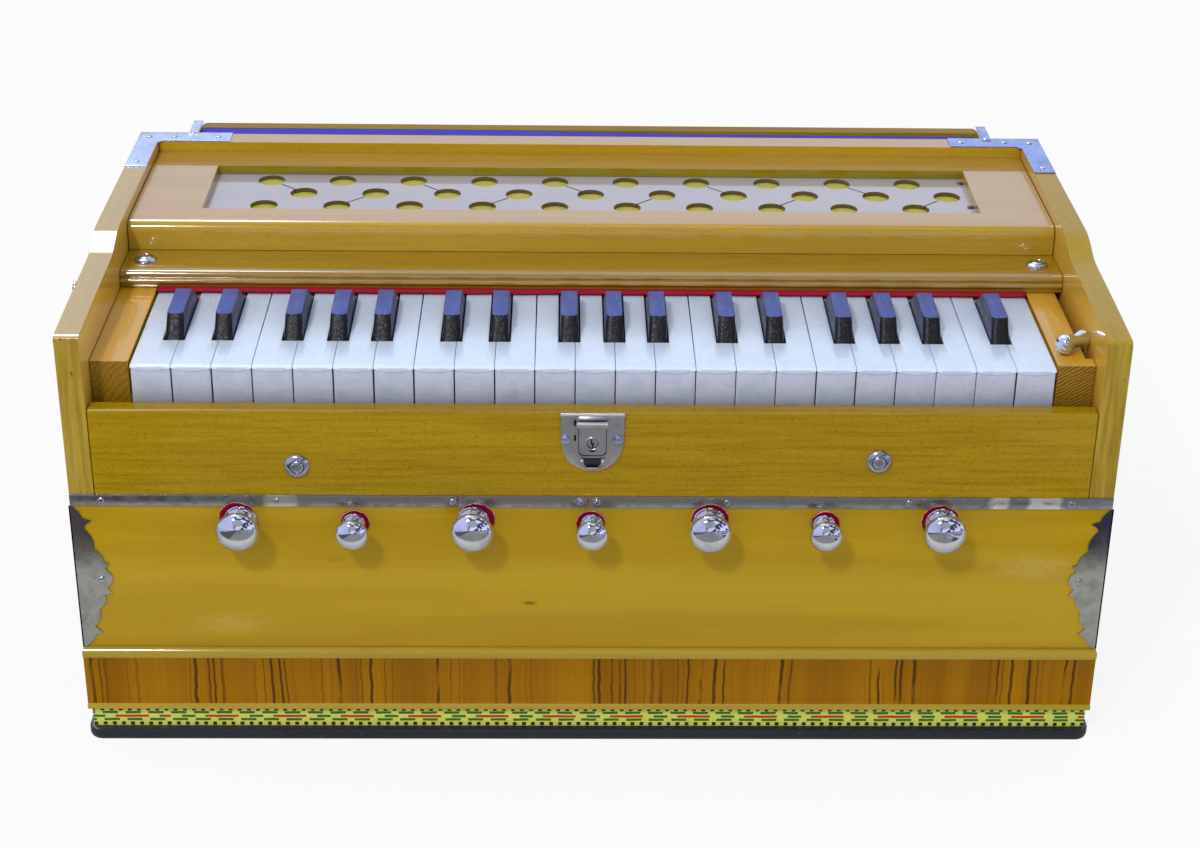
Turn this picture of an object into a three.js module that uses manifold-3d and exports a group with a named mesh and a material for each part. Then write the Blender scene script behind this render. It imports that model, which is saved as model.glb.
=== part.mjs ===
// An Indian hand harmonium: a wooden case with a keyboard of 39 keys, seven stops, a coupler lever,
// a trunk lock, a perforated grille and a bellows board that is pumped at the back.
import * as THREE from 'three';
import { mergeVertices } from 'three/addons/utils/BufferGeometryUtils.js';
import Module from 'manifold-3d';

const wasm = await Module();
wasm.setup();

// Driving dimensions in millimetres.
// X runs along the keyboard, Y from the player to the bellows and Z up.
// The case's front face lies at Y = 0, and the last lines of the file centre the whole instrument.

// Clearances and tools
const fit = 0.3; // between boards that meet
const sink = 0.4; // how deep a joined piece is let into the one that carries it
const overrun = 4; // how far a cutter runs past the face that it cuts

// Keyboard
const naturalCount = 23;
const keyPitch = 22;
const keyGap = 0.8; // between neighbouring covers
const keySetback = 15.2; // from the case's front to the front of the naturals
const naturalLength = 94.2; // the part of a natural that shows
const sharpSetback = 32.6; // from the front of the naturals to the front of the sharps
const sharpLength = 60;
const sharpWidth = 10.8;
const sharpTopWidth = 9.2;
const sharpRise = 12; // over the naturals
const sharpFrontRake = 9;
const sharpRearRake = 18;
const coverThick = 2.2;
const coverBevel = 0.6;
const coverTuck = 2.6; // how far the covers run on behind the felt
const leverThick = 11.8;
const leverInset = 0.5; // a lever is this much narrower than its cover, each side
const keyFrontHeight = 24;
const keyFrontThick = 3;
const keyLipRadius = 2.4;
const palletThick = 6.4;
const palletLength = 80;
const palletInset = 10; // from the lever's rear end
const tailClearance = 9; // from the lever's rear end to the back board
const pivotBehindBatten = 13;
const keyTravel = 6.3; // at the front of a natural
// How far each sharp stands off the line between its naturals, as a share of the pitch.
const sharpOffsetShares = { c: -0.136, d: 0.09, f: -0.145, g: 0, a: 0.11 };

// Case boards
const sideThick = 13.6;
const frontThick = 12;
const slipThick = 10;
const backThick = 15;
const blockSpace = 22.4; // between the end keys and the side boards
const keyEndGap = 1.2; // between an end key and its block
const blockSetback = 18.2;
const blockHeight = 54;
const couplerSlotSetback = 9.5; // from the front of the right block to its slot
const feltDepth = 5.6; // between the covers and the batten, where the felt shows
const ledgeDepth = 32; // of the batten, in front of the grille frame
const grilleDepth = 117.7;

// Heights, stacked from the floor
const baseThick = 7;
const tapeHeight = 13.3;
const lowBeadHeight = 4.2;
const veneerHeight = 31;
const topBeadHeight = 6;
const panelHeight = 96;
const slipHeight = 55.8;
const keyRise = 19.4; // of the naturals over the key slip
const blockRise = 1.3; // of the key blocks over the naturals
const battenThick = 10;
const grilleThick = 17.5;
const railRise = 6.5; // of the rear rail over the grille frame
const cheekStep = 8; // the ogee's height
const cheekFall = 3; // from the ogee's foot to the front
const cheekStepRun = 36;
const cheekStepAhead = 21; // from the ogee's foot to the batten
const cheekNose = 3; // rounding of the front corner

// Base and plinth
const baseLipFront = 4;
const baseLipSide = 2.5;
const baseCorner = 7;
const baseEdge = 1.6;
const plinthWall = 12;
const tapeInset = 0.5;
const beadProud = 3.2; // at the front and the back
const veneerProud = 2.6;
const sideProudShare = 0.35; // of the same, at the sides
const beadRound = 1.6;

// Batten and grille
const beadRadius = 1.6;
const battenGroove = 1.2;
const battenEdge = 3;
const battenTuck = 13; // how far the batten runs on under the grille frame
const frameEdge = 6.5;
const frameFrontBar = 23;
const frameRearBar = 24.7;
const frameSideBar = 41;
const plateThick = 2.3;
const plateDepth = 5.5; // from the frame's top down to the plate
const plateRebate = 6; // how far the plate runs under the frame
const holeRadius = 8.35;
const holePitch = 44.2;
const holeShift = -1; // of all the holes, from the middle of the case
const holeRowPitch = 20.65;
const holeRowShift = 4.2; // of the middle row, from the window's middle to the rear
const kerfWidth = 0.6;
const holeSides = 16;

// Reed board
const reedBoardThick = 10;
const railWidth = 5;
const reedSlotWidth = 6;
const reedSlotLength = 62;

// Stops
const stopCount = 7;
const stopPitch = 64.8;
const stopDrop = 13.3; // of the drone stops' axes below the panel's top edge
const mainRise = 1.8; // of the main stops' axes over the drones'
// How far each stop stands off its place in the row, as a share of the pitch.
const stopShiftShares = [-0.02, -0.055, -0.037, -0.018, -0.014, -0.023, -0.012];
const mainCap = 12;
const mainHole = 7.6;
const mainCollar = 9;
const mainNeck = 5.2;
const droneCap = 9.3;
const droneHole = 7.4;
const droneCollar = 6.3;
const droneNeck = 4.2;
const capStandOff = 15.2; // from the panel to the rim of a knob's cap
const capDomeShare = 0.56; // the rise of the cap's front, over its radius
const capBackShare = 0.3; // the rounding of the cap's back, over its radius
const stopRod = 3.4;
const stopRodLength = 58;
const stopRecess = 2.6;
const collarGap = 1.6;
const collarThick = 1.9;
const turnedSides = 16;
const boreSides = 8; // of the narrow bores and pins

// Coupler lever
const couplerSlot = 4.3; // width of the slot in the right key block, along the side board
const couplerBar = 2.4;
const couplerBarWidth = 6;
const couplerPivotDepth = 40; // below the block's top
const couplerPinRadius = 2;
const couplerPinLength = 9;
const couplerSetback = 42; // of the knob at rest
const couplerLean = THREE.MathUtils.degToRad(8); // of the bar towards the player, half its swing
const couplerKnobRise = 6.2; // of the knob's axis over the block
const couplerKnobLength = 20;
const couplerBig = 5.2;
const couplerSmall = 4.3;
const couplerNeck = 3.7;
const couplerTurn = THREE.MathUtils.degToRad(34); // of the knob towards the player

// Lock
const lockShift = -1.4; // of the lock from the middle of the case
const lockWidth = 35.2;
const lockHeight = 35.4;
const lockDrop = 0.4; // from the slip's top to the plate's top
const lockPlateThick = 1.2;
const lockStraight = 20; // of the plate's sides, before they curve in
const flapWidth = 17.4;
const flapHeight = 24.6;
const flapThick = 1.6;
const flapRim = 0.9;
const flapRimWidth = 1.5;
const flapDrop = 3.8; // from the plate's top to the flap's top
const flapPinRadius = 1.1;
const flapBarrel = 1.9; // radius of the rolled edge round the pin
const lockEar = 1.6;
const flapHingeWidth = 9.2; // of the barrel between the ears
const flapHingeGap = 3.4; // from the pin up to the flap's full width
const keyholeRadius = 1.5;

// Metal fittings
const metalThick = 0.8;
const stripHeight = 7.2;
const stripRise = 3.5; // over the joint between the panel and the slip
const stripJoint = 0.8; // between its two halves
const stripJointShift = -2.9; // of that joint from the middle
const cornerWidth = 21.2; // of a corner plate, on either face of the corner
const bracketArm = 59; // of a rear bracket, along the rail
const bracketReturn = 60; // and along the side
const catchWidth = 6;
const catchThick = 1.2;
const catchInset = 34; // from the case's side to the middle of a bellows catch
const catchFoot = 5; // on the rear rail
// The fretted edge of a corner plate: how far out, as a share of its width, and how far up, of its height.
const cornerFretShares = [
  [0, 0], [0.05, 0], [0.33, 0.1], [0.5, 0.105], [0.32, 0.14], [0.5, 0.24], [0.62, 0.33], [0.9, 0.39],
  [0.8, 0.45], [0.94, 0.47], [1, 0.51], [0.93, 0.55], [0.78, 0.57], [0.92, 0.62], [0.72, 0.66],
  [0.55, 0.76], [0.36, 0.86], [0.56, 0.905], [0.3, 0.925], [0.08, 1], [0, 1]];

// Bellows
const foldDepth = 12; // from the case to the bellows board, folded
const pleatCount = 3;
const pleatInset = 7;
const foldWall = 16;
const bellowsBoardThick = 9;
const bellowsBoardInset = 35; // from the case's sides
const bellowsBoardLift = 2.5; // over the plinth
const bellowsBoardCorner = 5;
const foldInset = 4; // from the bellows board's edges to the folds
const intakeRadius = 8;
const intakePitch = 42;
const intakeCount = 4;
const portRadius = 24;

// Worked out from the driving dimensions
const keyboardWidth = naturalCount * keyPitch;
const innerWidth = keyboardWidth + 2 * blockSpace;
const caseWidth = innerWidth + 2 * sideThick;
const halfKeys = keyboardWidth / 2;
const halfInner = innerWidth / 2;
const halfCase = caseWidth / 2;

const battenY = keySetback + naturalLength + feltDepth;
const grilleY = battenY + ledgeDepth;
const railY = grilleY + grilleDepth + fit;
const caseDepth = railY + backThick;
const bellowsY = caseDepth + foldDepth;
const pivotY = battenY + pivotBehindBatten;

const plinthTop = baseThick + tapeHeight + lowBeadHeight + veneerHeight + topBeadHeight;
const panelTop = plinthTop + panelHeight;
const slipTop = panelTop + slipHeight;
const keyTop = slipTop + keyRise;
const blockTop = keyTop + blockRise;
const battenTop = blockTop + battenThick;
const grilleTop = battenTop + grilleThick;
const railTop = grilleTop + railRise;
const leverTop = keyTop - coverThick;
const leverBottom = leverTop - leverThick;
const reedBoardTop = leverBottom - palletThick - fit;
const reedBoardBottom = reedBoardTop - reedBoardThick;

// Materials
const finishes = {
  varnish: { color: 0xb98a2e, roughness: 0.25, metalness: 0 },
  paleVarnish: { color: 0xc9a868, roughness: 0.25, metalness: 0 },
  darkBase: { color: 0x1c2033, roughness: 0.4, metalness: 0 },
  bareWood: { color: 0xc8a878, roughness: 0.6, metalness: 0 },
  ivory: { color: 0xe6ebf5, roughness: 0.2, metalness: 0 },
  ebony: { color: 0x14151c, roughness: 0.15, metalness: 0 },
  greyPlastic: { color: 0xaaa7b4, roughness: 0.15, metalness: 0 },
  chrome: { color: 0xd8dade, roughness: 0.08, metalness: 1 },
  blueCloth: { color: 0x4a42c8, roughness: 0.9, metalness: 0 },
};

const harmonium = new THREE.Group();

function place(name, geometry, finish, position = new THREE.Vector3()) {
  const mesh = new THREE.Mesh(geometry, new THREE.MeshStandardMaterial(finishes[finish]));
  mesh.name = name;
  mesh.position.copy(position);
  harmonium.add(mesh);
  return mesh;
}

// Solids
function solid(geometry) {
  const bare = geometry.clone();
  bare.deleteAttribute('normal');
  bare.deleteAttribute('uv');
  const merged = mergeVertices(bare);
  return new wasm.Manifold(new wasm.Mesh({
    numProp: 3,
    vertProperties: new Float32Array(merged.attributes.position.array),
    triVerts: new Uint32Array(merged.index.array),
  }));
}

function toGeometry(manifold) {
  const mesh = manifold.getMesh();
  const geometry = new THREE.BufferGeometry();
  geometry.setAttribute('position', new THREE.BufferAttribute(mesh.vertProperties, 3));
  geometry.setIndex(new THREE.BufferAttribute(mesh.triVerts, 1));
  return geometry;
}

function join(...geometries) {
  return toGeometry(geometries.map(solid).reduce((sum, next) => sum.add(next)));
}

function cut(geometry, ...tools) {
  return toGeometry(tools.map(solid).reduce((rest, tool) => rest.subtract(tool), solid(geometry)));
}

function box(x0, x1, y0, y1, z0, z1) {
  const geometry = new THREE.BoxGeometry(x1 - x0, y1 - y0, z1 - z0);
  return geometry.translate((x0 + x1) / 2, (y0 + y1) / 2, (z0 + z1) / 2);
}

// A shape drawn in Y and Z, run along X.
function extrudeX(shape, x0, x1, curveSegments = 8) {
  const geometry = new THREE.ExtrudeGeometry(shape, { depth: x1 - x0, bevelEnabled: false, curveSegments });
  const axes = new THREE.Matrix4().makeBasis(
    new THREE.Vector3(0, 1, 0), new THREE.Vector3(0, 0, 1), new THREE.Vector3(1, 0, 0));
  return geometry.applyMatrix4(axes).translate(x0, 0, 0);
}

// A shape drawn in X and Z, run along Y.
function extrudeY(shape, y0, y1, curveSegments = 8) {
  const geometry = new THREE.ExtrudeGeometry(shape, { depth: y1 - y0, bevelEnabled: false, curveSegments });
  return geometry.rotateX(Math.PI / 2).translate(0, y1, 0);
}

function cylinderX(radius, x0, x1, sides) {
  return new THREE.CylinderGeometry(radius, radius, x1 - x0, sides)
    .rotateZ(Math.PI / 2).translate((x0 + x1) / 2, 0, 0);
}

function cylinderY(radius, y0, y1, sides) {
  return new THREE.CylinderGeometry(radius, radius, y1 - y0, sides).translate(0, (y0 + y1) / 2, 0);
}

function mirrorX(geometry) {
  const mirrored = geometry.clone().scale(-1, 1, 1);
  const index = mirrored.index.array;
  for (let i = 0; i < index.length; i += 3) {
    [index[i], index[i + 1]] = [index[i + 1], index[i]];
  }
  return mirrored;
}

function outline(points) {
  return new THREE.Shape(points.map(([a, b]) => new THREE.Vector2(a, b)));
}

// A solid through a stack of rectangles { at, x0, x1, y0, y1 }, each at its own height.
function stackRectangles(levels) {
  const corners = levels.flatMap(({ at, x0, x1, y0, y1 }) => [
    x0, y0, at, x1, y0, at, x1, y1, at, x0, y1, at]);
  const faces = [0, 2, 1, 0, 3, 2];
  const sides = [0, 1, 2, 3];
  for (let level = 1; level < levels.length; level++) {
    const high = level * sides.length;
    const low = high - sides.length;
    for (const side of sides) {
      const next = (side + 1) % sides.length;
      faces.push(low + side, low + next, high + next, low + side, high + next, high + side);
    }
  }
  const top = (levels.length - 1) * sides.length;
  faces.push(top, top + 1, top + 2, top, top + 2, top + 3);
  const geometry = new THREE.BufferGeometry();
  geometry.setAttribute('position', new THREE.Float32BufferAttribute(corners, 3));
  geometry.setIndex(faces);
  return geometry;
}

// Base board and plinth: a thin board, a recessed band for the tape, and a moulding of two beads
// with a veneered face between them.
function baseTray() {
  const board = new THREE.Shape();
  const x1 = halfCase + baseLipSide - baseEdge;
  const y0 = -baseLipFront + baseEdge;
  const y1 = caseDepth + baseLipFront - baseEdge;
  board.moveTo(-x1 + baseCorner, y0);
  board.lineTo(x1 - baseCorner, y0);
  board.absarc(x1 - baseCorner, y0 + baseCorner, baseCorner, -Math.PI / 2, 0);
  board.absarc(x1 - baseCorner, y1 - baseCorner, baseCorner, 0, Math.PI / 2);
  board.absarc(-x1 + baseCorner, y1 - baseCorner, baseCorner, Math.PI / 2, Math.PI);
  board.absarc(-x1 + baseCorner, y0 + baseCorner, baseCorner, Math.PI, 1.5 * Math.PI);
  const slab = new THREE.ExtrudeGeometry(board, {
    depth: baseThick - 2 * baseEdge, bevelThickness: baseEdge, bevelSize: baseEdge, bevelSegments: 2,
    curveSegments: 5 });
  slab.translate(0, 0, baseEdge);

  const ring = (at, proud) => {
    const side = halfCase + Math.min(proud, proud * sideProudShare);
    return { at, x0: -side, x1: side, y0: -proud, y1: caseDepth + proud };
  };
  const mouldingBottom = baseThick + tapeHeight;
  const veneerBottom = mouldingBottom + lowBeadHeight;
  const veneerTop = veneerBottom + veneerHeight;
  const moulding = stackRectangles([
    ring(baseThick - sink, -tapeInset),
    ring(mouldingBottom, -tapeInset),
    ring(mouldingBottom, beadProud - beadRound / 2),
    ring(mouldingBottom + beadRound / 2, beadProud),
    ring(veneerBottom - beadRound / 2, beadProud),
    ring(veneerBottom, veneerProud),
    ring(veneerTop, veneerProud),
    ring(veneerTop + beadRound / 2, beadProud),
    ring(plinthTop - beadRound, beadProud),
    ring(plinthTop - beadRound / 3, beadProud - beadRound / 2),
    ring(plinthTop, beadProud - beadRound),
  ]);
  const hollow = box(
    -halfCase + plinthWall, halfCase - plinthWall, plinthWall, caseDepth - plinthWall,
    baseThick, plinthTop + overrun);
  return cut(join(slab, moulding), hollow);
}

// Side board: straight below, with the ogee step and a gentle fall to the front along its top.
function sideBoard(x0, x1) {
  const cheekFoot = railTop - cheekStep;
  const cheekFront = cheekFoot - cheekFall;
  const footY = battenY - cheekStepAhead;
  const crownY = footY + cheekStepRun;
  const shape = new THREE.Shape();
  shape.moveTo(frontThick + fit, plinthTop + fit);
  shape.lineTo(caseDepth, plinthTop + fit);
  shape.lineTo(caseDepth, railTop);
  shape.lineTo(crownY, railTop);
  shape.bezierCurveTo(
    crownY - cheekStepRun * 0.42, railTop, footY + cheekStepRun * 0.42, cheekFoot, footY, cheekFoot);
  shape.quadraticCurveTo(footY / 2, cheekFoot - cheekFall * 0.3, cheekNose, cheekFront);
  shape.quadraticCurveTo(0, cheekFront - cheekNose * 0.2, 0, cheekFront - cheekNose);
  shape.lineTo(0, panelTop + fit);
  shape.lineTo(frontThick + fit, panelTop + fit);
  return extrudeX(shape, x0, x1);
}

// The seven stops stand in one row: a main stop at both ends, then drone and main by turns.
const mainStop = { cap: mainCap, hole: mainHole, collar: mainCollar, neck: mainNeck };
const droneStop = { cap: droneCap, hole: droneHole, collar: droneCollar, neck: droneNeck };
const stops = Array.from({ length: stopCount }, (_, i) => {
  const main = i % 2 === 0;
  const x = (i - (stopCount - 1) / 2 + stopShiftShares[i]) * stopPitch;
  const z = panelTop - stopDrop + (main ? mainRise : 0);
  return { x, z, turned: main ? mainStop : droneStop, main };
});

// A fretted plate that wraps one front corner: its edge is drawn once and stands on both faces.
const stripTop = panelTop + stripRise;
const stripBottom = stripTop - stripHeight;
function cornerPlate(side) {
  const plateBottom = plinthTop + fit;
  const fret = cornerFretShares.map(([out, up]) => [
    out * cornerWidth, plateBottom + up * (stripBottom - plateBottom)]);
  const front = extrudeY(outline(fret.map(([out, z]) => [halfCase - out, z])), -metalThick, sink);
  const side1 = extrudeX(outline(fret.map(([out, z]) => [out, z])), halfCase, halfCase + metalThick);
  const fold = box(halfCase, halfCase + metalThick, -metalThick, 0, plateBottom, stripBottom);
  const plate = join(front, side1, fold);
  return side < 0 ? mirrorX(plate) : plate;
}

// Half of the strip that covers the joint between panel and slip, with a tongue let into the panel.
function jointStrip(x0, x1) {
  return join(
    box(x0, x1, -metalThick, 0, stripBottom, stripTop),
    box(x0, x1, -metalThick / 2, sink, stripBottom, panelTop - sink));
}

// Lower front panel with its metal fittings, and a felted recess and a bore for each stop.
function frontPanel() {
  const board = box(-halfCase, halfCase, 0, frontThick, plinthTop + fit, panelTop);
  const panel = join(board, cornerPlate(-1), cornerPlate(1),
    jointStrip(-halfCase, stripJointShift - stripJoint / 2),
    jointStrip(stripJointShift + stripJoint / 2, halfCase));
  const bores = stops.flatMap(({ x, z, turned }) => [
    cylinderY(turned.hole, -overrun, stopRecess, turnedSides).translate(x, 0, z),
    cylinderY(stopRod + 2 * fit, -overrun, frontThick + overrun, boreSides).translate(x, 0, z)]);
  return cut(panel, ...bores);
}

// Stop knob, turned in one piece: rod, stepped collar, neck and domed cap, from the inside out.
function stopKnob({ cap, collar, neck }) {
  const collarFront = collarGap + collarThick;
  const back = cap * capBackShare;
  const dome = cap * capDomeShare;
  const domeSteps = 5;
  const profile = [
    [0, -stopRodLength],
    [stopRod, -stopRodLength],
    [stopRod, collarGap],
    [collar, collarGap],
    [collar, collarGap + collarThick / 2],
    [neck * 1.2, collarFront],
    [neck, collarFront + collarThick],
    [neck, capStandOff - back - collarThick],
    [cap * 0.8, capStandOff - back],
    [cap * 0.97, capStandOff - back / 2],
  ];
  for (let step = 0; step < domeSteps; step++) {
    const angle = Math.PI / 2 * step / domeSteps;
    profile.push([cap * Math.cos(angle), capStandOff + dome * Math.sin(angle)]);
  }
  profile.push([0, capStandOff + dome]);
  const points = profile.map(([radius, out]) => new THREE.Vector2(radius, out));
  return new THREE.LatheGeometry(points, turnedSides).rotateX(Math.PI);
}
const knobReach = capStandOff + mainCap * capDomeShare;

// Trunk lock: its plate stands on the key slip, and its flap turns on a pin at the plate's foot.
const lockTop = slipTop - lockDrop;
const lockFoot = lockTop - lockHeight;
const flapTop = lockTop - flapDrop;
const flapPinZ = flapTop - flapHeight;
const flapPinY = -lockPlateThick - fit - flapBarrel;

function keySlip() {
  const board = box(-halfInner + fit, halfInner - fit, 0, slipThick, panelTop + fit, slipTop);
  const half = lockWidth / 2;
  const shoulder = lockTop - lockStraight;
  const shape = new THREE.Shape();
  shape.moveTo(-half, lockTop);
  shape.lineTo(-half, shoulder);
  shape.quadraticCurveTo(-half, lockFoot, 0, lockFoot);
  shape.quadraticCurveTo(half, lockFoot, half, shoulder);
  shape.lineTo(half, lockTop);
  const plate = extrudeY(shape, -lockPlateThick, sink);
  const earX = flapHingeWidth / 2 + fit;
  const ears = [-1, 1].map((side) => {
    const ear = box(-lockEar / 2, lockEar / 2, flapPinY - 2 * flapPinRadius, -lockPlateThick + sink,
      -2 * flapPinRadius, 2 * flapPinRadius);
    const hole = cylinderX(flapPinRadius + fit, -lockEar, lockEar, boreSides).translate(0, flapPinY, 0);
    return cut(ear, hole).translate(side * (earX + lockEar / 2), 0, flapPinZ);
  });
  const fittings = join(plate, ...ears).translate(lockShift, 0, 0);
  return join(board, fittings);
}

// Flap, drawn about its pin: a plate with a raised rim, a barrel and the pin's two ends.
function lockFlap() {
  const half = flapWidth / 2;
  const hinge = flapHingeWidth / 2;
  const back = flapBarrel;
  const plate = box(-half, half, back - flapThick, back, flapHingeGap, flapHeight);
  const tongue = box(-hinge, hinge, back - flapThick, back, 0, flapHingeGap + sink);
  const rims = [
    box(-half, -half + flapRimWidth, back - flapThick - flapRim, back, flapHingeGap, flapHeight),
    box(half - flapRimWidth, half, back - flapThick - flapRim, back, flapHingeGap, flapHeight),
    box(-half, half, back - flapThick - flapRim, back, flapHeight - flapRimWidth, flapHeight),
  ];
  const barrel = cylinderX(flapBarrel, -hinge, hinge, turnedSides);
  const pin = cylinderX(flapPinRadius, -hinge - fit - lockEar, hinge + fit + lockEar, boreSides);
  const keyhole = cylinderY(keyholeRadius, -overrun, back + overrun, boreSides)
    .translate(0, 0, flapHeight * 0.4);
  return cut(join(plate, tongue, ...rims, barrel, pin), keyhole);
}

// Keys. Every key is drawn about its pivot on the balance rail.
const tailY = railY - tailClearance;
const coverEnd = keySetback + naturalLength + coverTuck - pivotY;
const keyFront = keySetback - pivotY;
const sharpFront = keyFront + sharpSetback;
const tailEnd = tailY - pivotY;
const toTop = keyTop - leverBottom;
const toLever = leverTop - leverBottom;

// The plan of a natural, narrowed where the sharps stand beside it.
function naturalPlan(left, right, tailLeft, tailRight, front, end, inset) {
  const shoulder = sharpFront - keyGap - inset;
  const points = [[left + inset, front], [right - inset, front]];
  if (tailRight < right) {
    points.push([right - inset, shoulder], [tailRight - inset, shoulder]);
  }
  points.push([tailRight - inset, end], [tailLeft + inset, end]);
  if (tailLeft > left) {
    points.push([tailLeft + inset, shoulder], [left + inset, shoulder]);
  }
  return outline(points);
}

function pallet(tailLeft, tailRight) {
  return box(tailLeft + leverInset, tailRight - leverInset, tailEnd - palletInset - palletLength,
    tailEnd - palletInset, -palletThick, sink);
}

function naturalKey(left, right, tailLeft, tailRight) {
  const cover = new THREE.ExtrudeGeometry(
    naturalPlan(left, right, tailLeft, tailRight, keyFront + keyFrontThick / 2, coverEnd, 0), {
      depth: coverThick - coverBevel, bevelThickness: coverBevel, bevelSize: coverBevel,
      bevelOffset: -coverBevel, bevelSegments: 1 });
  cover.translate(0, 0, toLever);
  const lever = new THREE.ExtrudeGeometry(
    naturalPlan(left, right, tailLeft, tailRight, keyFront + keyFrontThick / 2, tailEnd, leverInset), {
      depth: toLever, bevelEnabled: false });
  const lip = new THREE.Shape();
  lip.moveTo(keyFront, toTop - keyFrontHeight);
  lip.lineTo(keyFront + keyFrontThick, toTop - keyFrontHeight);
  lip.lineTo(keyFront + keyFrontThick, toTop);
  lip.lineTo(keyFront + keyLipRadius, toTop);
  lip.absarc(keyFront + keyLipRadius, toTop - keyLipRadius, keyLipRadius, Math.PI / 2, Math.PI);
  const front = extrudeX(lip, left, right, 4);
  return join(cover, lever, front, pallet(tailLeft, tailRight));
}

// A sharp: a raked and tapered block on a straight lever.
function sharpKey(left, right) {
  const lever = box(left + leverInset, right - leverInset, sharpFront + leverInset, tailEnd, 0, toLever);
  const blockHeight = toTop + sharpRise - toLever + sink;
  const block = new THREE.BoxGeometry(right - left, sharpLength, blockHeight);
  const corners = block.attributes.position;
  for (let i = 0; i < corners.count; i++) {
    if (corners.getZ(i) > 0) {
      const rake = corners.getY(i) < 0 ? sharpFrontRake : -sharpRearRake;
      corners.setX(i, corners.getX(i) * sharpTopWidth / sharpWidth);
      corners.setY(i, corners.getY(i) + rake);
    }
  }
  block.translate((left + right) / 2, sharpFront + sharpLength / 2, toLever - sink + blockHeight / 2);
  return join(lever, block, pallet(left, right));
}

// Where every key stands: naturals by the pitch, and sharps between their naturals.
const noteNames = ['c', 'd', 'e', 'f', 'g', 'a', 'b'];
const naturals = Array.from({ length: naturalCount }, (_, i) => ({
  note: noteNames[i % noteNames.length],
  octave: 1 + Math.floor(i / noteNames.length),
  left: -halfKeys + i * keyPitch + keyGap / 2,
  right: -halfKeys + (i + 1) * keyPitch - keyGap / 2,
}));
const sharps = naturals.slice(0, -1)
  .filter(({ note }) => note in sharpOffsetShares)
  .map(({ note, octave, right }) => {
    const x = right + keyGap / 2 + sharpOffsetShares[note] * keyPitch;
    return { note, octave, left: x - sharpWidth / 2, right: x + sharpWidth / 2 };
  });
for (const natural of naturals) {
  const sharpLeft = sharps.find(({ left, right }) => left < natural.left && right > natural.left);
  const sharpRight = sharps.find(({ left, right }) => left < natural.right && right > natural.right);
  natural.tailLeft = sharpLeft ? sharpLeft.right + keyGap : natural.left;
  natural.tailRight = sharpRight ? sharpRight.left - keyGap : natural.right;
}

// Reed board: key blocks at both ends, the balance rail, and an air slot under each pallet.
const reedBoardFront = keySetback + keyFrontThick + keyGap * 2;
const couplerReach = (couplerPivotDepth + couplerKnobRise) / Math.cos(couplerLean);
const couplerPivotY = couplerSetback + couplerReach * Math.sin(couplerLean);
const couplerPivotZ = blockTop - couplerPivotDepth;

function reedBoard() {
  const edge = halfInner - fit;
  const slab = box(-edge, edge, reedBoardFront, railY - fit, reedBoardBottom, reedBoardTop);
  const rail = box(-halfKeys, halfKeys, pivotY - railWidth / 2, pivotY + railWidth / 2,
    reedBoardTop - sink, leverBottom - fit);
  const blockEnd = battenY + ledgeDepth + battenTuck;
  const blockInner = halfKeys + keyEndGap;
  const blockOuter = halfInner - couplerSlot;
  const blockBottom = blockTop - blockHeight;
  const leftBlock = box(-edge, -blockInner, blockSetback, blockEnd, blockBottom, blockTop - fit);
  const rightBlock = box(blockInner, edge, blockSetback, blockEnd, blockBottom, blockTop - fit);
  const slots = [...naturals.map(({ tailLeft, tailRight }) => [tailLeft, tailRight]),
    ...sharps.map(({ left, right }) => [left, right])].map(([left, right]) => {
    const x = (left + right) / 2;
    const y = tailY - palletInset - palletLength / 2;
    return box(x - reedSlotWidth / 2, x + reedSlotWidth / 2, y - reedSlotLength / 2, y + reedSlotLength / 2,
      reedBoardBottom - overrun, reedBoardTop + overrun);
  });
  const slotStart = blockSetback + couplerSlotSetback;
  const longSlot = box(blockOuter, halfInner, slotStart, blockEnd + overrun, reedBoardTop, blockTop + overrun);
  const deepSlot = box(blockOuter, halfInner, slotStart, couplerPivotY + 2 * couplerBarWidth,
    blockBottom - overrun, blockTop + overrun);
  const pinHole = cylinderX(couplerPinRadius + 2 * fit, blockOuter - couplerPinLength - fit, halfInner, boreSides)
    .translate(0, couplerPivotY, couplerPivotZ);
  return cut(join(slab, rail, leftBlock, rightBlock), ...slots, longSlot, deepSlot, pinHole);
}

// Key batten: a ledge with a bead, a groove and a rounded edge along its front.
function keyBatten() {
  const beadTop = blockTop + battenThick - battenEdge - battenGroove;
  const shape = new THREE.Shape();
  shape.moveTo(battenY, blockTop);
  shape.lineTo(battenY, beadTop - 2 * beadRadius);
  shape.absarc(battenY, beadTop - beadRadius, beadRadius, 1.5 * Math.PI, Math.PI / 2, true);
  shape.lineTo(battenY + beadRadius / 2, beadTop + battenGroove / 2);
  shape.lineTo(battenY, beadTop + battenGroove);
  shape.absarc(battenY + battenEdge, beadTop + battenGroove, battenEdge, Math.PI, Math.PI / 2, true);
  shape.lineTo(grilleY + battenTuck, battenTop);
  shape.lineTo(grilleY + battenTuck, blockTop);
  return extrudeX(shape, -halfInner + fit, halfInner - fit, 6);
}

// Grille frame: rounded along its front, with a window and a rebate that takes the plate from below.
const windowX = halfInner - frameSideBar;
const windowY0 = grilleY + frameFrontBar;
const windowY1 = grilleY + grilleDepth - frameRearBar;
const plateTop = grilleTop - plateDepth;

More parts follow.
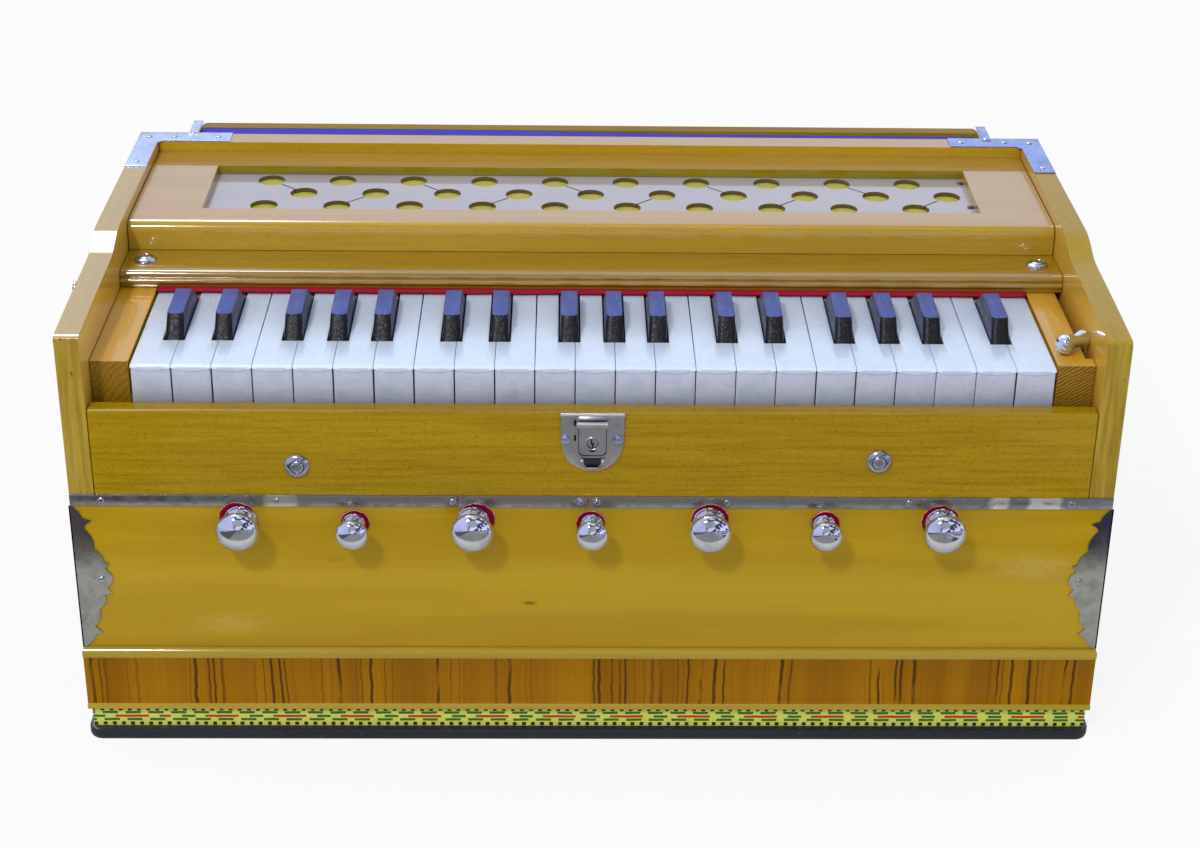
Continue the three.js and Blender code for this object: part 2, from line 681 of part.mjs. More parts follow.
function grilleFrame() {
  const bottom = battenTop + fit;
  const rear = grilleY + grilleDepth;
  const shape = new THREE.Shape();
  shape.moveTo(grilleY, bottom);
  shape.lineTo(grilleY, grilleTop - frameEdge);
  shape.absarc(grilleY + frameEdge, grilleTop - frameEdge, frameEdge, Math.PI, Math.PI / 2, true);
  shape.lineTo(rear, grilleTop);
  shape.lineTo(rear, bottom);
  const frame = extrudeX(shape, -halfInner + 2 * fit, halfInner - 2 * fit, 6);
  const opening = box(-windowX, windowX, windowY0, windowY1, bottom - overrun, grilleTop + overrun);
  const rebate = box(-windowX - plateRebate, windowX + plateRebate, windowY0 - plateRebate,
    windowY1 + plateRebate, bottom - overrun, plateTop + fit);
  return cut(frame, opening, rebate);
}

// Grille plate: three staggered rows of round holes, with saw kerfs between some of them.
function grillePlate() {
  const plate = box(-windowX - plateRebate + fit, windowX + plateRebate - fit,
    windowY0 - plateRebate + fit, windowY1 + plateRebate - fit, plateTop - plateThick, plateTop);
  const tool = (x, y) => new THREE.CylinderGeometry(holeRadius, holeRadius, plateThick + 2 * overrun, holeSides)
    .rotateX(Math.PI / 2).translate(x, y, plateTop - plateThick / 2);
  const kerf = (x, y, rowStep) => {
    const length = Math.hypot(holePitch / 2, holeRowPitch);
    return new THREE.BoxGeometry(length, kerfWidth, plateThick + 2 * overrun)
      .rotateZ(Math.atan2(rowStep, holePitch / 2))
      .translate(x + holePitch / 4, y + rowStep / 2, plateTop - plateThick / 2);
  };
  const middle = (windowY0 + windowY1) / 2 + holeRowShift;
  const columns = 2 * Math.floor((windowX - holeRadius) / holePitch);
  const first = -(columns - 1) / 2;
  const tools = [];
  for (let column = 0; column < columns; column++) {
    const x = (first + column) * holePitch + holeShift;
    tools.push(tool(x, middle + holeRowPitch), tool(x + holePitch / 2, middle), tool(x, middle - holeRowPitch));
    tools.push(column % 2 === 0
      ? kerf(x, middle + holeRowPitch, -holeRowPitch)
      : kerf(x, middle - holeRowPitch, holeRowPitch));
  }
  return cut(plate, ...tools);
}

// Coupler lever, drawn upright about its pivot pin and then leant forward: a flat bar in the slot
// and a turned knob on its end.
function couplerLever() {
  const bar = box(-couplerBar / 2, couplerBar / 2, -couplerBarWidth / 2, couplerBarWidth / 2,
    -couplerBarWidth / 2, couplerReach);
  const pin = cylinderX(couplerPinRadius, -couplerPinLength - (couplerSlot - couplerBar) / 2, 0, boreSides);
  const profile = [
    [0, -couplerBar / 2],
    [couplerSmall * 0.8, -couplerBar / 2],
    [couplerSmall, couplerKnobLength * 0.1],
    [couplerSmall, couplerKnobLength * 0.2],
    [couplerNeck, couplerKnobLength * 0.38],
    [couplerNeck, couplerKnobLength * 0.52],
    [couplerBig, couplerKnobLength * 0.7],
    [couplerBig, couplerKnobLength * 0.86],
    [couplerBig * 0.7, couplerKnobLength * 0.97],
    [0, couplerKnobLength],
  ].map(([radius, out]) => new THREE.Vector2(radius, out));
  const knob = new THREE.LatheGeometry(profile, turnedSides).rotateZ(Math.PI / 2 + couplerTurn)
    .translate(0, 0, couplerReach);
  const reach = couplerKnobLength + couplerBig;
  const behind = box(couplerBar / 2, reach, -reach, reach, 0, couplerReach + reach);
  return cut(join(bar, pin, knob), behind).rotateX(couplerLean);
}

// Rear fittings of one end: a bracket round the corner and a catch that reaches over the bellows.
function rearFittings(side) {
  const arm = halfCase - bracketArm;
  const back = caseDepth - backThick;
  const catchX = halfCase - catchInset;
  const fittings = join(
    box(arm, halfCase, back, caseDepth, railTop, railTop + metalThick),
    box(halfInner, halfCase, caseDepth - bracketReturn, caseDepth, railTop, railTop + metalThick),
    box(arm, halfInner - 2 * fit, back, caseDepth, railTop - sink, railTop + metalThick / 2),
    box(catchX - catchWidth / 2, catchX + catchWidth / 2, caseDepth - catchFoot, bellowsY + bellowsBoardThick,
      railTop, railTop + catchThick));
  return side < 0 ? mirrorX(fittings) : fittings;
}

// Back board: the rear rail along its top and the port that the bellows blows into.
function backBoard() {
  const board = join(
    box(-halfInner + fit, halfInner - fit, railY, caseDepth, plinthTop + fit, railTop),
    rearFittings(-1), rearFittings(1));
  const port = cylinderY(portRadius, railY - overrun, caseDepth + overrun, holeSides)
    .translate(0, 0, (plinthTop + railTop) / 2);
  return cut(board, port);
}

// Bellows: pleated folds between the case and a hinged board with intake holes.
const bellowsHalf = halfCase - bellowsBoardInset;
const bellowsBottom = plinthTop + bellowsBoardLift;
const bellowsTop = railTop - fit;
const hinge = new THREE.Vector3(0, caseDepth + foldDepth / 2, bellowsBottom + foldInset / 2);

function bellowsFolds() {
  const x1 = bellowsHalf - foldInset;
  const section = (at, inset) => ({
    at, x0: -x1 + inset, x1: x1 - inset,
    y0: -bellowsTop + foldInset + inset, y1: -bellowsBottom - foldInset - inset });
  const from = caseDepth + fit;
  const step = (foldDepth - 2 * fit) / (2 * pleatCount);
  const outer = [];
  const inner = [];
  for (let fold = 0; fold <= 2 * pleatCount; fold++) {
    const inset = fold % 2 === 0 ? 0 : pleatInset;
    outer.push(section(from + fold * step, inset));
    inner.push(section(from + fold * step, inset + foldWall));
  }
  inner[0].at -= overrun;
  inner.at(-1).at += overrun;
  return cut(stackRectangles(outer), stackRectangles(inner)).rotateX(-Math.PI / 2);
}

function bellowsBoard() {
  const r = bellowsBoardCorner;
  const shape = new THREE.Shape();
  shape.moveTo(-bellowsHalf, bellowsBottom);
  shape.lineTo(bellowsHalf, bellowsBottom);
  shape.absarc(bellowsHalf - r, bellowsTop - r, r, 0, Math.PI / 2);
  shape.absarc(-bellowsHalf + r, bellowsTop - r, r, Math.PI / 2, Math.PI);
  const board = extrudeY(shape, bellowsY, bellowsY + bellowsBoardThick, 4);
  const intakes = Array.from({ length: intakeCount }, (_, i) =>
    cylinderY(intakeRadius, bellowsY - overrun, bellowsY + bellowsBoardThick + overrun, holeSides)
      .translate((i - (intakeCount - 1) / 2) * intakePitch, 0, (bellowsBottom + bellowsTop) / 2));
  return cut(board, ...intakes).translate(0, -hinge.y, -hinge.z);
}

// The instrument
place('base_tray', baseTray(), 'darkBase');
place('left_side', sideBoard(-halfCase, -halfInner), 'varnish');
place('right_side', sideBoard(halfInner, halfCase), 'varnish');
place('front_panel', frontPanel(), 'varnish');
place('key_slip', keySlip(), 'varnish');
place('back_board', backBoard(), 'varnish');
place('reed_board', reedBoard(), 'bareWood');
place('key_batten', keyBatten(), 'varnish');
place('grille_frame', grilleFrame(), 'paleVarnish');
place('grille_plate', grillePlate(), 'greyPlastic');

for (const { note, octave, left, right, tailLeft, tailRight } of naturals) {
  const x = (left + right) / 2;
  const key = naturalKey(left - x, right - x, tailLeft - x, tailRight - x);
  place(`key_${note}${octave}`, key, 'ivory', new THREE.Vector3(x, pivotY, leverBottom));
}
for (const { note, octave, left, right } of sharps) {
  const x = (left + right) / 2;
  place(`key_${note}_sharp${octave}`, sharpKey(left - x, right - x), 'ebony',
    new THREE.Vector3(x, pivotY, leverBottom));
}

const counts = { main_stop: 0, drone_stop: 0 };
for (const { x, z, turned, main } of stops) {
  const kind = main ? 'main_stop' : 'drone_stop';
  counts[kind] += 1;
  place(`${kind}_${counts[kind]}`, stopKnob(turned), 'chrome', new THREE.Vector3(x, 0, z));
}

place('coupler_lever', couplerLever(), 'chrome',
  new THREE.Vector3(halfInner - couplerSlot / 2, couplerPivotY, couplerPivotZ));
place('lock_flap', lockFlap(), 'chrome', new THREE.Vector3(lockShift, flapPinY, flapPinZ));
place('bellows_folds', bellowsFolds(), 'blueCloth');
place('bellows_board', bellowsBoard(), 'varnish', hinge);

// Centre the instrument over the middle of its depth.
harmonium.position.y = -(bellowsY + bellowsBoardThick - knobReach) / 2;

const keySwing = THREE.MathUtils.radToDeg(Math.asin(keyTravel / -keyFront));
console.log('key swing in degrees', keySwing.toFixed(2));
console.log('coupler swing in degrees', THREE.MathUtils.radToDeg(2 * couplerLean).toFixed(2));
console.log('case width, depth and height', caseWidth.toFixed(1), caseDepth.toFixed(1), railTop.toFixed(1));

export default harmonium;
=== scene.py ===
# %% [markdown]
# # An Indian harmonium
# A harmonium is a small reed organ for the floor: one hand pumps the bellows board at the back, and the
# other plays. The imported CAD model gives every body, place and size. This lesson dresses it: each visible
# solid gets a fuller shape or a better finish, and each one stays where the CAD has it.

import math
import random

import bmesh
import bpy
from mathutils import Matrix, Vector, noise


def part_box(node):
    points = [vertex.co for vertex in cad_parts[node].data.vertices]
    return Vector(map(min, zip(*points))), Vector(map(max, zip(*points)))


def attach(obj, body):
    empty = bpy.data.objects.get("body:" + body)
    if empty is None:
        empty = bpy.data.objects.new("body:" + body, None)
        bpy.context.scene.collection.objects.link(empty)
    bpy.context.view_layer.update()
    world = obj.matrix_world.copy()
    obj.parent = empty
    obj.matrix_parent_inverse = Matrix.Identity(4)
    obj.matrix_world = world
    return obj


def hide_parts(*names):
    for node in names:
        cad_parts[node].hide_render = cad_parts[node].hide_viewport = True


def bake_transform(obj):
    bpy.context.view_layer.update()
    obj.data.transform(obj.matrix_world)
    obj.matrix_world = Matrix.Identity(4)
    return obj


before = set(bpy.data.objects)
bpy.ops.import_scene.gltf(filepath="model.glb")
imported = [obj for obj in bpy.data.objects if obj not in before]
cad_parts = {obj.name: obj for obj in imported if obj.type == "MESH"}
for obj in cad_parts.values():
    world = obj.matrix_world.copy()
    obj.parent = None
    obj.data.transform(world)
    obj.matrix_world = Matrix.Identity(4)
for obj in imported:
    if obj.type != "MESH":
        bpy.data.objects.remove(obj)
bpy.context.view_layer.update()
scene = bpy.context.scene
mm = 0.001
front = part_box("left_side")[0].y


def spot(x, y, z):
    """A place in millimetres: x from the middle, y behind the case's front, z over the floor."""
    return Vector((x * mm, front + y * mm, z * mm))


# %% [markdown]
# ## The camera
# The photographer stood in front of the keys and looked down a little. The place, the turn and the focal
# length were found by fitting a camera to the key gaps, the case's edges and the knobs. A camera can be
# aimed with angles, but a matrix of its three axes says the same with nothing left to chance.

# %% The camera
photo_width, photo_height = 1200, 848
focal_pixels = 2238.508
middle_pixel = (615.049, 355.196)
yaw, pitch, roll = (math.radians(a) for a in (1.521, 25.979, -0.970))
ahead = Vector((math.sin(yaw) * math.cos(pitch), math.cos(yaw) * math.cos(pitch), -math.sin(pitch)))
level = Vector((math.cos(yaw), -math.sin(yaw), 0))
below = ahead.cross(level)
right = level * math.cos(roll) + below * math.sin(roll)
down = below * math.cos(roll) - level * math.sin(roll)

lens = bpy.data.cameras.new("camera")
lens.sensor_width = 36
lens.lens = lens.sensor_width * focal_pixels / photo_width
lens.shift_x = (photo_width / 2 - middle_pixel[0]) / photo_width
lens.shift_y = (middle_pixel[1] - photo_height / 2) / photo_width
camera = bpy.data.objects.new("camera", lens)
scene.collection.objects.link(camera)
camera.matrix_world = Matrix.Translation(spot(-18.461, -1078.636, 773.491)) @ Matrix(
    (right, -down, -ahead)).transposed().to_4x4()
scene.camera = camera
print("focal length", round(lens.lens, 2), "mm")

# %% [markdown]
# ## Writing shaders as arithmetic
# A pattern such as "one minus the mask, times the noise" is easier to read as an expression than as a
# page of nodes. `Wire` wraps an output socket, and its operators add the Math nodes. `Tree` adds any
# other node in one line: its kind, its settings and what goes into its sockets. A colour of three numbers
# is what a colour picker shows, 0 to 255, and a colour of four is linear light.

# %% Wires and trees
class Wire:
    """An output socket that takes part in arithmetic."""

    def __init__(self, tree, socket):
        self.tree = tree
        self.socket = socket

    def __getitem__(self, name):
        return Wire(self.tree, self.socket.node.outputs[name])

    def maths(self, operation, *values):
        return self.tree.add("ShaderNodeMath", {"operation": operation}, dict(enumerate(values)))

    def __rsub__(self, other):
        return self.maths("SUBTRACT", other, self)

    def __abs__(self):
        return self.maths("ABSOLUTE", self)

    def sine(self):
        return self.maths("SINE", self)


for sign, operation in (("add", "ADD"), ("sub", "SUBTRACT"), ("mul", "MULTIPLY"), ("truediv", "DIVIDE"),
                        ("lt", "LESS_THAN"), ("gt", "GREATER_THAN"), ("mod", "FLOORED_MODULO")):
    setattr(Wire, f"__{sign}__", lambda one, other, does=operation: one.maths(does, one, other))


def colour(red, green, blue):
    """A linear colour from the 0 to 255 values that a colour picker shows."""
    return (*((c / 255) ** 2.2 for c in (red, green, blue)), 1)


def darker(tone, share):
    """A picker colour with a share of its light."""
    return [c * share for c in colour(*tone)[:3]] + [1]


def socket_of(sockets, key):
    """A socket by its index, its identifier or its name."""
    if isinstance(key, int):
        return sockets[key]
    return next((s for s in sockets if s.identifier == key), None) or sockets[key]


class Tree:
    """A node tree that is being written, in one kind of coordinates."""

    def __init__(self, nodes, coordinates):
        self.nodes = nodes
        self.place = self.add("ShaderNodeTexCoord", output=coordinates)

    def add(self, kind, settings=None, values=None, output=0):
        node = self.nodes.nodes.new(kind)
        for name, value in (settings or {}).items():
            setattr(node, name, value)
        for key, value in (values or {}).items():
            self.put(socket_of(node.inputs, key), value)
        return Wire(self, socket_of(node.outputs, output))

    def put(self, socket, value):
        if isinstance(value, Wire):
            self.nodes.links.new(value.socket, socket)
        elif socket.type == "RGBA" and len(value) == 3:
            socket.default_value = colour(*value)
        else:
            socket.default_value = value

    def mix(self, share, one, other):
        """From one colour to the other by a share."""
        return self.add("ShaderNodeMix", {"data_type": "RGBA"},
                        {"Factor_Float": share, "A_Color": one, "B_Color": other}, "Result_Color")

    def step(self, value, low, high):
        """0 below low, 1 above high, and soft between them."""
        return self.add("ShaderNodeMapRange", {"interpolation_type": "SMOOTHSTEP"},
                        {"Value": value, "From Min": low, "From Max": high})

    def ramp(self, value, low, high, one, other):
        """From one colour to the other as a value goes from low to high."""
        return self.mix(self.step(value, low, high), one, other)

    def axis(self, name):
        return self.add("ShaderNodeSeparateXYZ", values={"Vector": self.place}, output=name)

    def vector(self, operation, values, output="Vector"):
        return self.add("ShaderNodeVectorMath", {"operation": operation}, values, output)

    def stretched(self, scale=(1, 1, 1), shift=(0, 0, 0)):
        """The place, stretched and shifted."""
        return self.vector("MULTIPLY_ADD", {"Vector": self.place, "Vector_001": scale, "Vector_002": shift})

    def noise(self, at, scale, detail=2, roughness=0.5, distortion=0, output=0):
        return self.add("ShaderNodeTexNoise", values={
            "Vector": at, "Scale": scale, "Detail": detail, "Roughness": roughness,
            "Distortion": distortion}, output=output)


# %% [markdown]
# ## A finish
# Every finish is a Principled BSDF. What is the same all over the surface is set on the shader's own
# sockets, and only colour, roughness and bump get wires. Patterns read Object coordinates in metres, so
# that the grain keeps its real scale on every piece.

# %% The Finish class
class Finish(Tree):
    """A material, with the object's own coordinates at hand."""

    def __init__(self, name, **constants):
        self.material = bpy.data.materials.new(name)
        self.material.use_nodes = True
        super().__init__(self.material.node_tree, "Object")
        self.shader = self.nodes.nodes["Principled BSDF"]
        for socket, value in constants.items():
            name = socket.replace("_", " ").title().replace("Ior", "IOR")
            self.shader.inputs[name].default_value = value

    def wire(self, socket, value):
        self.put(self.shader.inputs[socket], value)

    def surface(self, base, height, depth, strength, roughness=None):
        """The colour, a relief that is depth millimetres deep, and the roughness where it varies."""
        self.wire("Base Color", base)
        if roughness:
            self.wire("Roughness", roughness)
        self.wire("Normal", self.add("ShaderNodeBump", values={
            "Height": height, "Distance": depth * mm, "Strength": strength}))
        return self


# %% [markdown]
# ## Background, lamp and floor
# A plain studio: one soft lamp from the upper left in front, where the knobs' shadows say it stood, and
# an even sky. Polished metal is only as lively as what it mirrors, so glossy rays see a room: a bluish
# white wall behind the case, a lavender one on the left, a skylight, dark and pale things on the right
# and a grey patch where the photographer stood. The floor is white to the camera and keeps the shadow.
# In mirrors it carries a painted shadow next to the case that fades out over 15 cm, and darker areas
# begin 20 cm in front of it.

# %% The sky
world = bpy.data.worlds.new("studio")
scene.world = world
world.use_nodes = True
sky = Tree(world.node_tree, "Generated")
seen_directly = sky.add("ShaderNodeLightPath", output="Is Camera Ray")
mirrored = seen_directly["Is Glossy Ray"] + seen_directly["Is Transmission Ray"]
white = (1, 1, 1, 1)


def close_to(direction, wide, narrow):
    """1 in a round patch of the sky about a direction, by the cosines of its edge."""
    return sky.step(sky.vector("DOT_PRODUCT", {
        "Vector": sky.place, "Vector_001": Vector(direction).normalized()}, "Value"), wide, narrow)


def band(axis, middle, inner, outer):
    """1 in a band of the sky, with soft edges."""
    return 1 - sky.step(abs(sky.axis(axis) - middle), inner, outer)


room = sky.ramp(sky.noise(sky.place, 3.4, 1.6), 0.5, 0.55, (0.07, 0.07, 0.14, 1), (0.8, 0.84, 1.05, 1))
room = sky.ramp(sky.axis("X"), -0.34, -0.12, (0.6, 0.64, 0.95, 1), room)
room = sky.mix(close_to((0.02, -0.82, 0.5), 0.93, 0.955), room, (0.42, 0.41, 0.44, 1))
room = sky.ramp(sky.axis("Y"), -0.1, 0.55, room, (0.86, 0.93, 1.12, 1))
skylight = band("X", -0.28, 0.13, 0.2) * band("Y", 0.42, 0.16, 0.24) * sky.step(sky.axis("Z"), 0.4, 0.6)
room = sky.mix(skylight, room, (9, 9.3, 9.8, 1))
seen = sky.mix(seen_directly, sky.mix(mirrored, (0.67, 0.68, 0.74, 1), room), white)
sky.put(world.node_tree.nodes["Background"].inputs["Color"], seen)

# %% The lamp
light = bpy.data.lights.new("key_lamp", "AREA")
light.shape, light.size, light.energy, light.color = "DISK", 0.34, 40, (1, 0.98, 0.95)
key_lamp = bpy.data.objects.new("key_lamp", light)
scene.collection.objects.link(key_lamp)
key_lamp.location = (-0.97, -2.04, 2.58)
lamp_aim = Vector((0, 0, 0.12))
key_lamp.rotation_euler = (lamp_aim - Vector(key_lamp.location)).to_track_quat("-Z", "Y").to_euler()

# %% The floor
ground = Finish("pale_floor", roughness=0.9)
ground.wire("Base Color", ground.mix(ground.noise(ground.place, 3), (0.86, 0.86, 0.86, 1),
                                     (0.9, 0.9, 0.9, 1)))
out_front = front - ground.axis("Y")
across_floor = ground.axis("X")
things = ground.noise(ground.stretched((2.2, 0.7, 1)), 2.4, 1.5)
beyond = ground.ramp(things, 0.45, 0.55, (0.06, 0.06, 0.1, 1), (0.5, 0.52, 0.62, 1))
for edge_from, edge_to, tone in ((0.34, 0.3, (0.28, 0.28, 0.29, 1)), (-0.3, -0.32, (0.12, 0.1, 0.1, 1)),
                                 (-0.7, -0.9, (0.5, 0.54, 0.82, 1))):
    beyond = ground.ramp(across_floor, edge_from, edge_to, beyond, tone)
# Next to the case the mirrored floor is darker: a painted shadow.
mirrored_tone = ground.ramp(out_front, 0.02, 0.15, (0.4, 0.4, 0.37, 1), (0.62, 0.62, 0.56, 1))
mirrored_tone = ground.ramp(out_front, 0.18, 0.22, mirrored_tone, beyond)
floor_ray = ground.add("ShaderNodeLightPath", output="Is Camera Ray")
reflected = floor_ray["Is Glossy Ray"] + floor_ray["Is Transmission Ray"]
glow = ground.add("ShaderNodeEmission", values={
    "Color": ground.mix(reflected, white, mirrored_tone), "Strength": 1})
painted_white = floor_ray * 0.86 + reflected
floor_surface = ground.add("ShaderNodeMixShader", values={
    0: painted_white, 1: Wire(ground, ground.shader.outputs[0]), 2: glow})
ground.put(ground.nodes.nodes["Material Output"].inputs["Surface"], floor_surface)

bm = bmesh.new()
bmesh.ops.create_circle(bm, cap_ends=True, radius=6, segments=96)
mesh = bpy.data.meshes.new("floor")
bm.to_mesh(mesh)
bm.free()
mesh.materials.append(ground.material)
floor = bpy.data.objects.new("floor", mesh)
scene.collection.objects.link(floor)

# %% [markdown]
# ## Varnished wood
# The case is a pale hardwood under thick golden varnish. Its grain runs along each board, so the pattern
# is stretched along one axis: a broad soft figure, finer streaks, and short dark pore dashes. An image
# would repeat and slide, and noise does neither. The varnish is a coat over it, not quite level, and how
# strongly it mirrors is set board by board. Bare wood inside has the same grain and no coat.

# %% Wood
def wood(name, pale, deep, along, figure=0.5, pores=0.3, roughness=0.34, coat=0.9, seed=0.0, spots=(),
         mirror=1.5):
    """Varnished wood with its grain along one axis. Spots are (place, radius in mm, colour, strength)."""
    made = Finish(name, coat_weight=coat, coat_roughness=0.1, coat_ior=mirror, specular_ior_level=0)
    long_axis = "XYZ".index(along)

    def squeezed(share):
        return made.stretched([share if i == long_axis else 1 for i in range(3)], (seed, seed * 1.7, -seed))

    bands = made.noise(squeezed(0.07), 34, 3, 0.55, 0.7)
    streaks = made.noise(squeezed(0.04), 420, 3, 0.6, 0.2)
    dashes = made.step(made.noise(squeezed(0.2), 2300, 1.5, 0.6), 0.54, 0.68)
    tone = made.step(bands, 0.3, 0.72) * figure + made.step(streaks, 0.35, 0.75) * (1 - figure) * 0.7
    stained = made.mix(dashes * pores, made.mix(tone, pale, deep), darker(deep, 0.5))
    for where, radius, stain, strength in spots:
        apart = made.vector("DISTANCE", {"Vector": made.stretched((0.3, 1, 1)),
                                         "Vector_001": where * Vector((0.3, 1, 1))}, "Value")
        rim = made.noise(made.place, 260, 2) * radius * mm
        mark = 1 - made.step(apart + rim, 0.4 * radius * mm, 1.6 * radius * mm)
        stained = made.mix(mark * strength, stained, stain)
    return made.surface(stained, made.noise(made.place, 45) * 0.7 - dashes * 0.06 + streaks * 0.05, 0.3, 0.3,
                        roughness=made.step(streaks, 0.2, 0.9) * 0.12 + roughness)


panel_marks = [(spot(-35.6, 0, 91.3), 1.7, (70, 44, 10), 0.85),
               (spot(-144.7, 0, 119.3), 2.4, (120, 92, 14), 0.35),
               (spot(-206, 0, 77), 9, (196, 172, 92), 0.3),
               (spot(249, 0, 115), 11, (200, 176, 100), 0.3)]
panel_wood = wood("panel_wood", (178, 146, 28), (160, 126, 16), "X", 0.7, 0.1, seed=1.3, spots=panel_marks,
                  mirror=1.4)
slip_wood = wood("slip_wood", (166, 136, 20), (130, 100, 8), "X", 0.3, 0.5, seed=2.1, mirror=1.38)
rail_wood = wood("rail_wood", (196, 162, 46), (170, 134, 28), "X", 0.4, 0.3, seed=5.2)
batten_wood = wood("batten_wood", (164, 132, 36), (140, 106, 22), "X", 0.4, 0.4, seed=2.9, mirror=2.2)
frame_wood = wood("frame_wood", (190, 156, 54), (168, 132, 36), "X", 0.5, 0.35, seed=3.7, mirror=1.7)
# A golden copy with little coat for the frame's rear strip: a painted reflection of the rear rail.
rail_reflection_wood = wood("rail_reflection_wood", (180, 144, 66), (160, 122, 46), "X", 0.5, 0.2, coat=0.2, seed=3.7)
# A paler, pinker copy of the varnished wood for flat tops: painted sheen.
top_sheen_wood = wood("top_sheen_wood", (190, 158, 108), (178, 142, 88), "X", 0.5, 0.12, seed=3.7, mirror=2.2)
# A darker copy for the window's rear wall: painted shade.
window_wall_shade_wood = wood("window_wall_shade_wood", (150, 132, 30), (120, 100, 16), "X", 0.4, 0.2, seed=3.1)
cheek_wood = wood("cheek_wood", (178, 150, 36), (158, 128, 18), "Y", seed=4.4, mirror=1.45)
# The left board's paler, less yellow copy is painted sheen.
left_cheek_sheen_wood = wood("left_cheek_sheen_wood", (186, 156, 76), (168, 136, 54), "Y", seed=4.9, mirror=2.7)
# A brighter copy for the cheeks' inner faces: painted light where they lie in shade.
inner_face_lit_wood = wood("inner_face_lit_wood", (214, 172, 74), (190, 146, 48), "Y", 0.5, 0.2, seed=4.1)
# A brighter copy for the key blocks: painted light.
block_lit_wood = wood("block_lit_wood", (218, 170, 66), (196, 146, 42), "Y", 0.5, 0.2, seed=6.1, mirror=1.65)
bead_wood = wood("bead_wood", (174, 148, 52), (158, 130, 34), "X", 0.5, 0.1, seed=7.9)
side_bead_wood = wood("side_bead_wood", (174, 148, 52), (158, 130, 34), "Y", 0.5, 0.1, seed=8.3)
board_wood = wood("board_wood", (158, 134, 60), (132, 106, 34), "X", coat=0.3, seed=9.4, mirror=1.3)
bare_wood = wood("bare_wood", (214, 188, 142), (190, 156, 104), "X", 0.4, 0.2, 0.62, 0, 2.6)
lever_wood = wood("lever_wood", (216, 190, 144), (192, 158, 108), "Y", 0.4, 0.2, 0.62, 0, 2.6)

# %% [markdown]
# ## End grain and veneer
# Where a board is sawn across, its rings show: on the front of a key block they are diagonal ridges, and
# on the front of a cheek fine dark specks. The plinth has a striped veneer with upright grain: clusters
# of dark lines that lean and meet. One noise with one input, read along the moulding, gives lines that
# run the whole height, and the height bends them a little.

# %% Wood seen from the end and striped veneer
def end_grain(name, pale, deep, slant, pitch_mm, seed):
    """The rings of a sawn end as slanting ridges."""
    made = Finish(name, roughness=0.45, coat_weight=0.2, coat_roughness=0.2, specular_ior_level=0.2)
    waver = made.noise(made.place, 90) * 2.2
    across = made.axis("X") * math.sin(slant) - made.axis("Z") * math.cos(slant)
    lines = made.step(((across / (pitch_mm * mm) + waver + seed) * 6.283).sine(), -0.2, 0.9)
    specks = made.step(made.noise(made.place, 900), 0.56, 0.7)
    base = made.mix(specks * 0.5, made.mix(lines * 0.75, pale, deep), darker(deep, 0.4))
    return made.surface(base, lines * -1 - specks * 0.5, 0.25, 0.7)


def cheek_end_grain():
    """The darker, dented front of a cheek."""
    made = Finish("cheek_end", roughness=0.36, coat_weight=0.25, coat_roughness=0.1, specular_ior_level=0.1)
    lines = made.noise(made.stretched((1, 1, 0.06), (0.4, 0, 2)), 420)
    specks = made.step(made.noise(made.stretched((1.5, 1, 0.8)), 130, 2, 0.6), 0.66, 0.74)
    base = made.ramp(lines, 0.3, 0.8, (170, 144, 56), (140, 114, 30))
    return made.surface(made.mix(specks * 0.7, base, (86, 58, 10)), specks * -1 + lines * 0.2, 0.3, 0.6)


def striped_veneer(name, along):
    """Orange-brown veneer with clusters of dark wavy lines across the moulding."""
    made = Finish(name, roughness=0.34, coat_weight=0.3, coat_roughness=0.1, specular_ior_level=0)
    slant = made.noise(made.stretched((14, 14, 0.5), (3, 3, 0)), 1, 1) - 0.5
    waver = made.noise(made.stretched((50, 50, 90)), 1, 1) - 0.5
    leaning = made.axis(along) + (made.axis("Z") - 0.04) * slant * 0.32 + waver * 0.0022

    def across(scale, detail):
        return made.add("ShaderNodeTexNoise", {"noise_dimensions": "1D"}, {
            "W": leaning, "Scale": scale, "Detail": detail})

    lines = made.step(across(390, 0), 0.55, 0.68)
    cluster = made.step(across(26, 0), 0.44, 0.54)
    fade = made.step(made.noise(made.stretched((90, 90, 24), (1, 5, 2)), 1), 0.28, 0.46)
    brown = made.ramp(across(34, 2), 0.3, 0.7, (158, 108, 10), (136, 90, 6))
    fine = made.mix(made.step(across(900, 1), 0.5, 0.75) * 0.3, brown, (112, 70, 12))
    return made.surface(made.mix(lines * cluster * fade * 0.85, fine, (66, 42, 14)),
                        made.noise(made.place, 60) - lines * cluster * 0.1, 0.25, 0.35)


block_end = end_grain("block_end", (160, 122, 34), (92, 54, 8), math.radians(31), 1.8, 0.3)
left_block_end = end_grain("left_block_end", (150, 114, 28), (136, 98, 20), math.radians(50), 3.4, 0.8)
cheek_end = cheek_end_grain()
veneer = striped_veneer("veneer", "X")
side_veneer = striped_veneer("side_veneer", "Y")

# %% [markdown]
# ## Ornament tape and base paint
# A printed tape runs round the foot. Its dashes are rows with a pitch and a length each, so a modulo of
# the place along the tape draws them, and the height picks the row. The base below is painted nearly
# black, a little blue, and scuffed at its edge.

# %% Tape and paint
tape_foot = 7.0


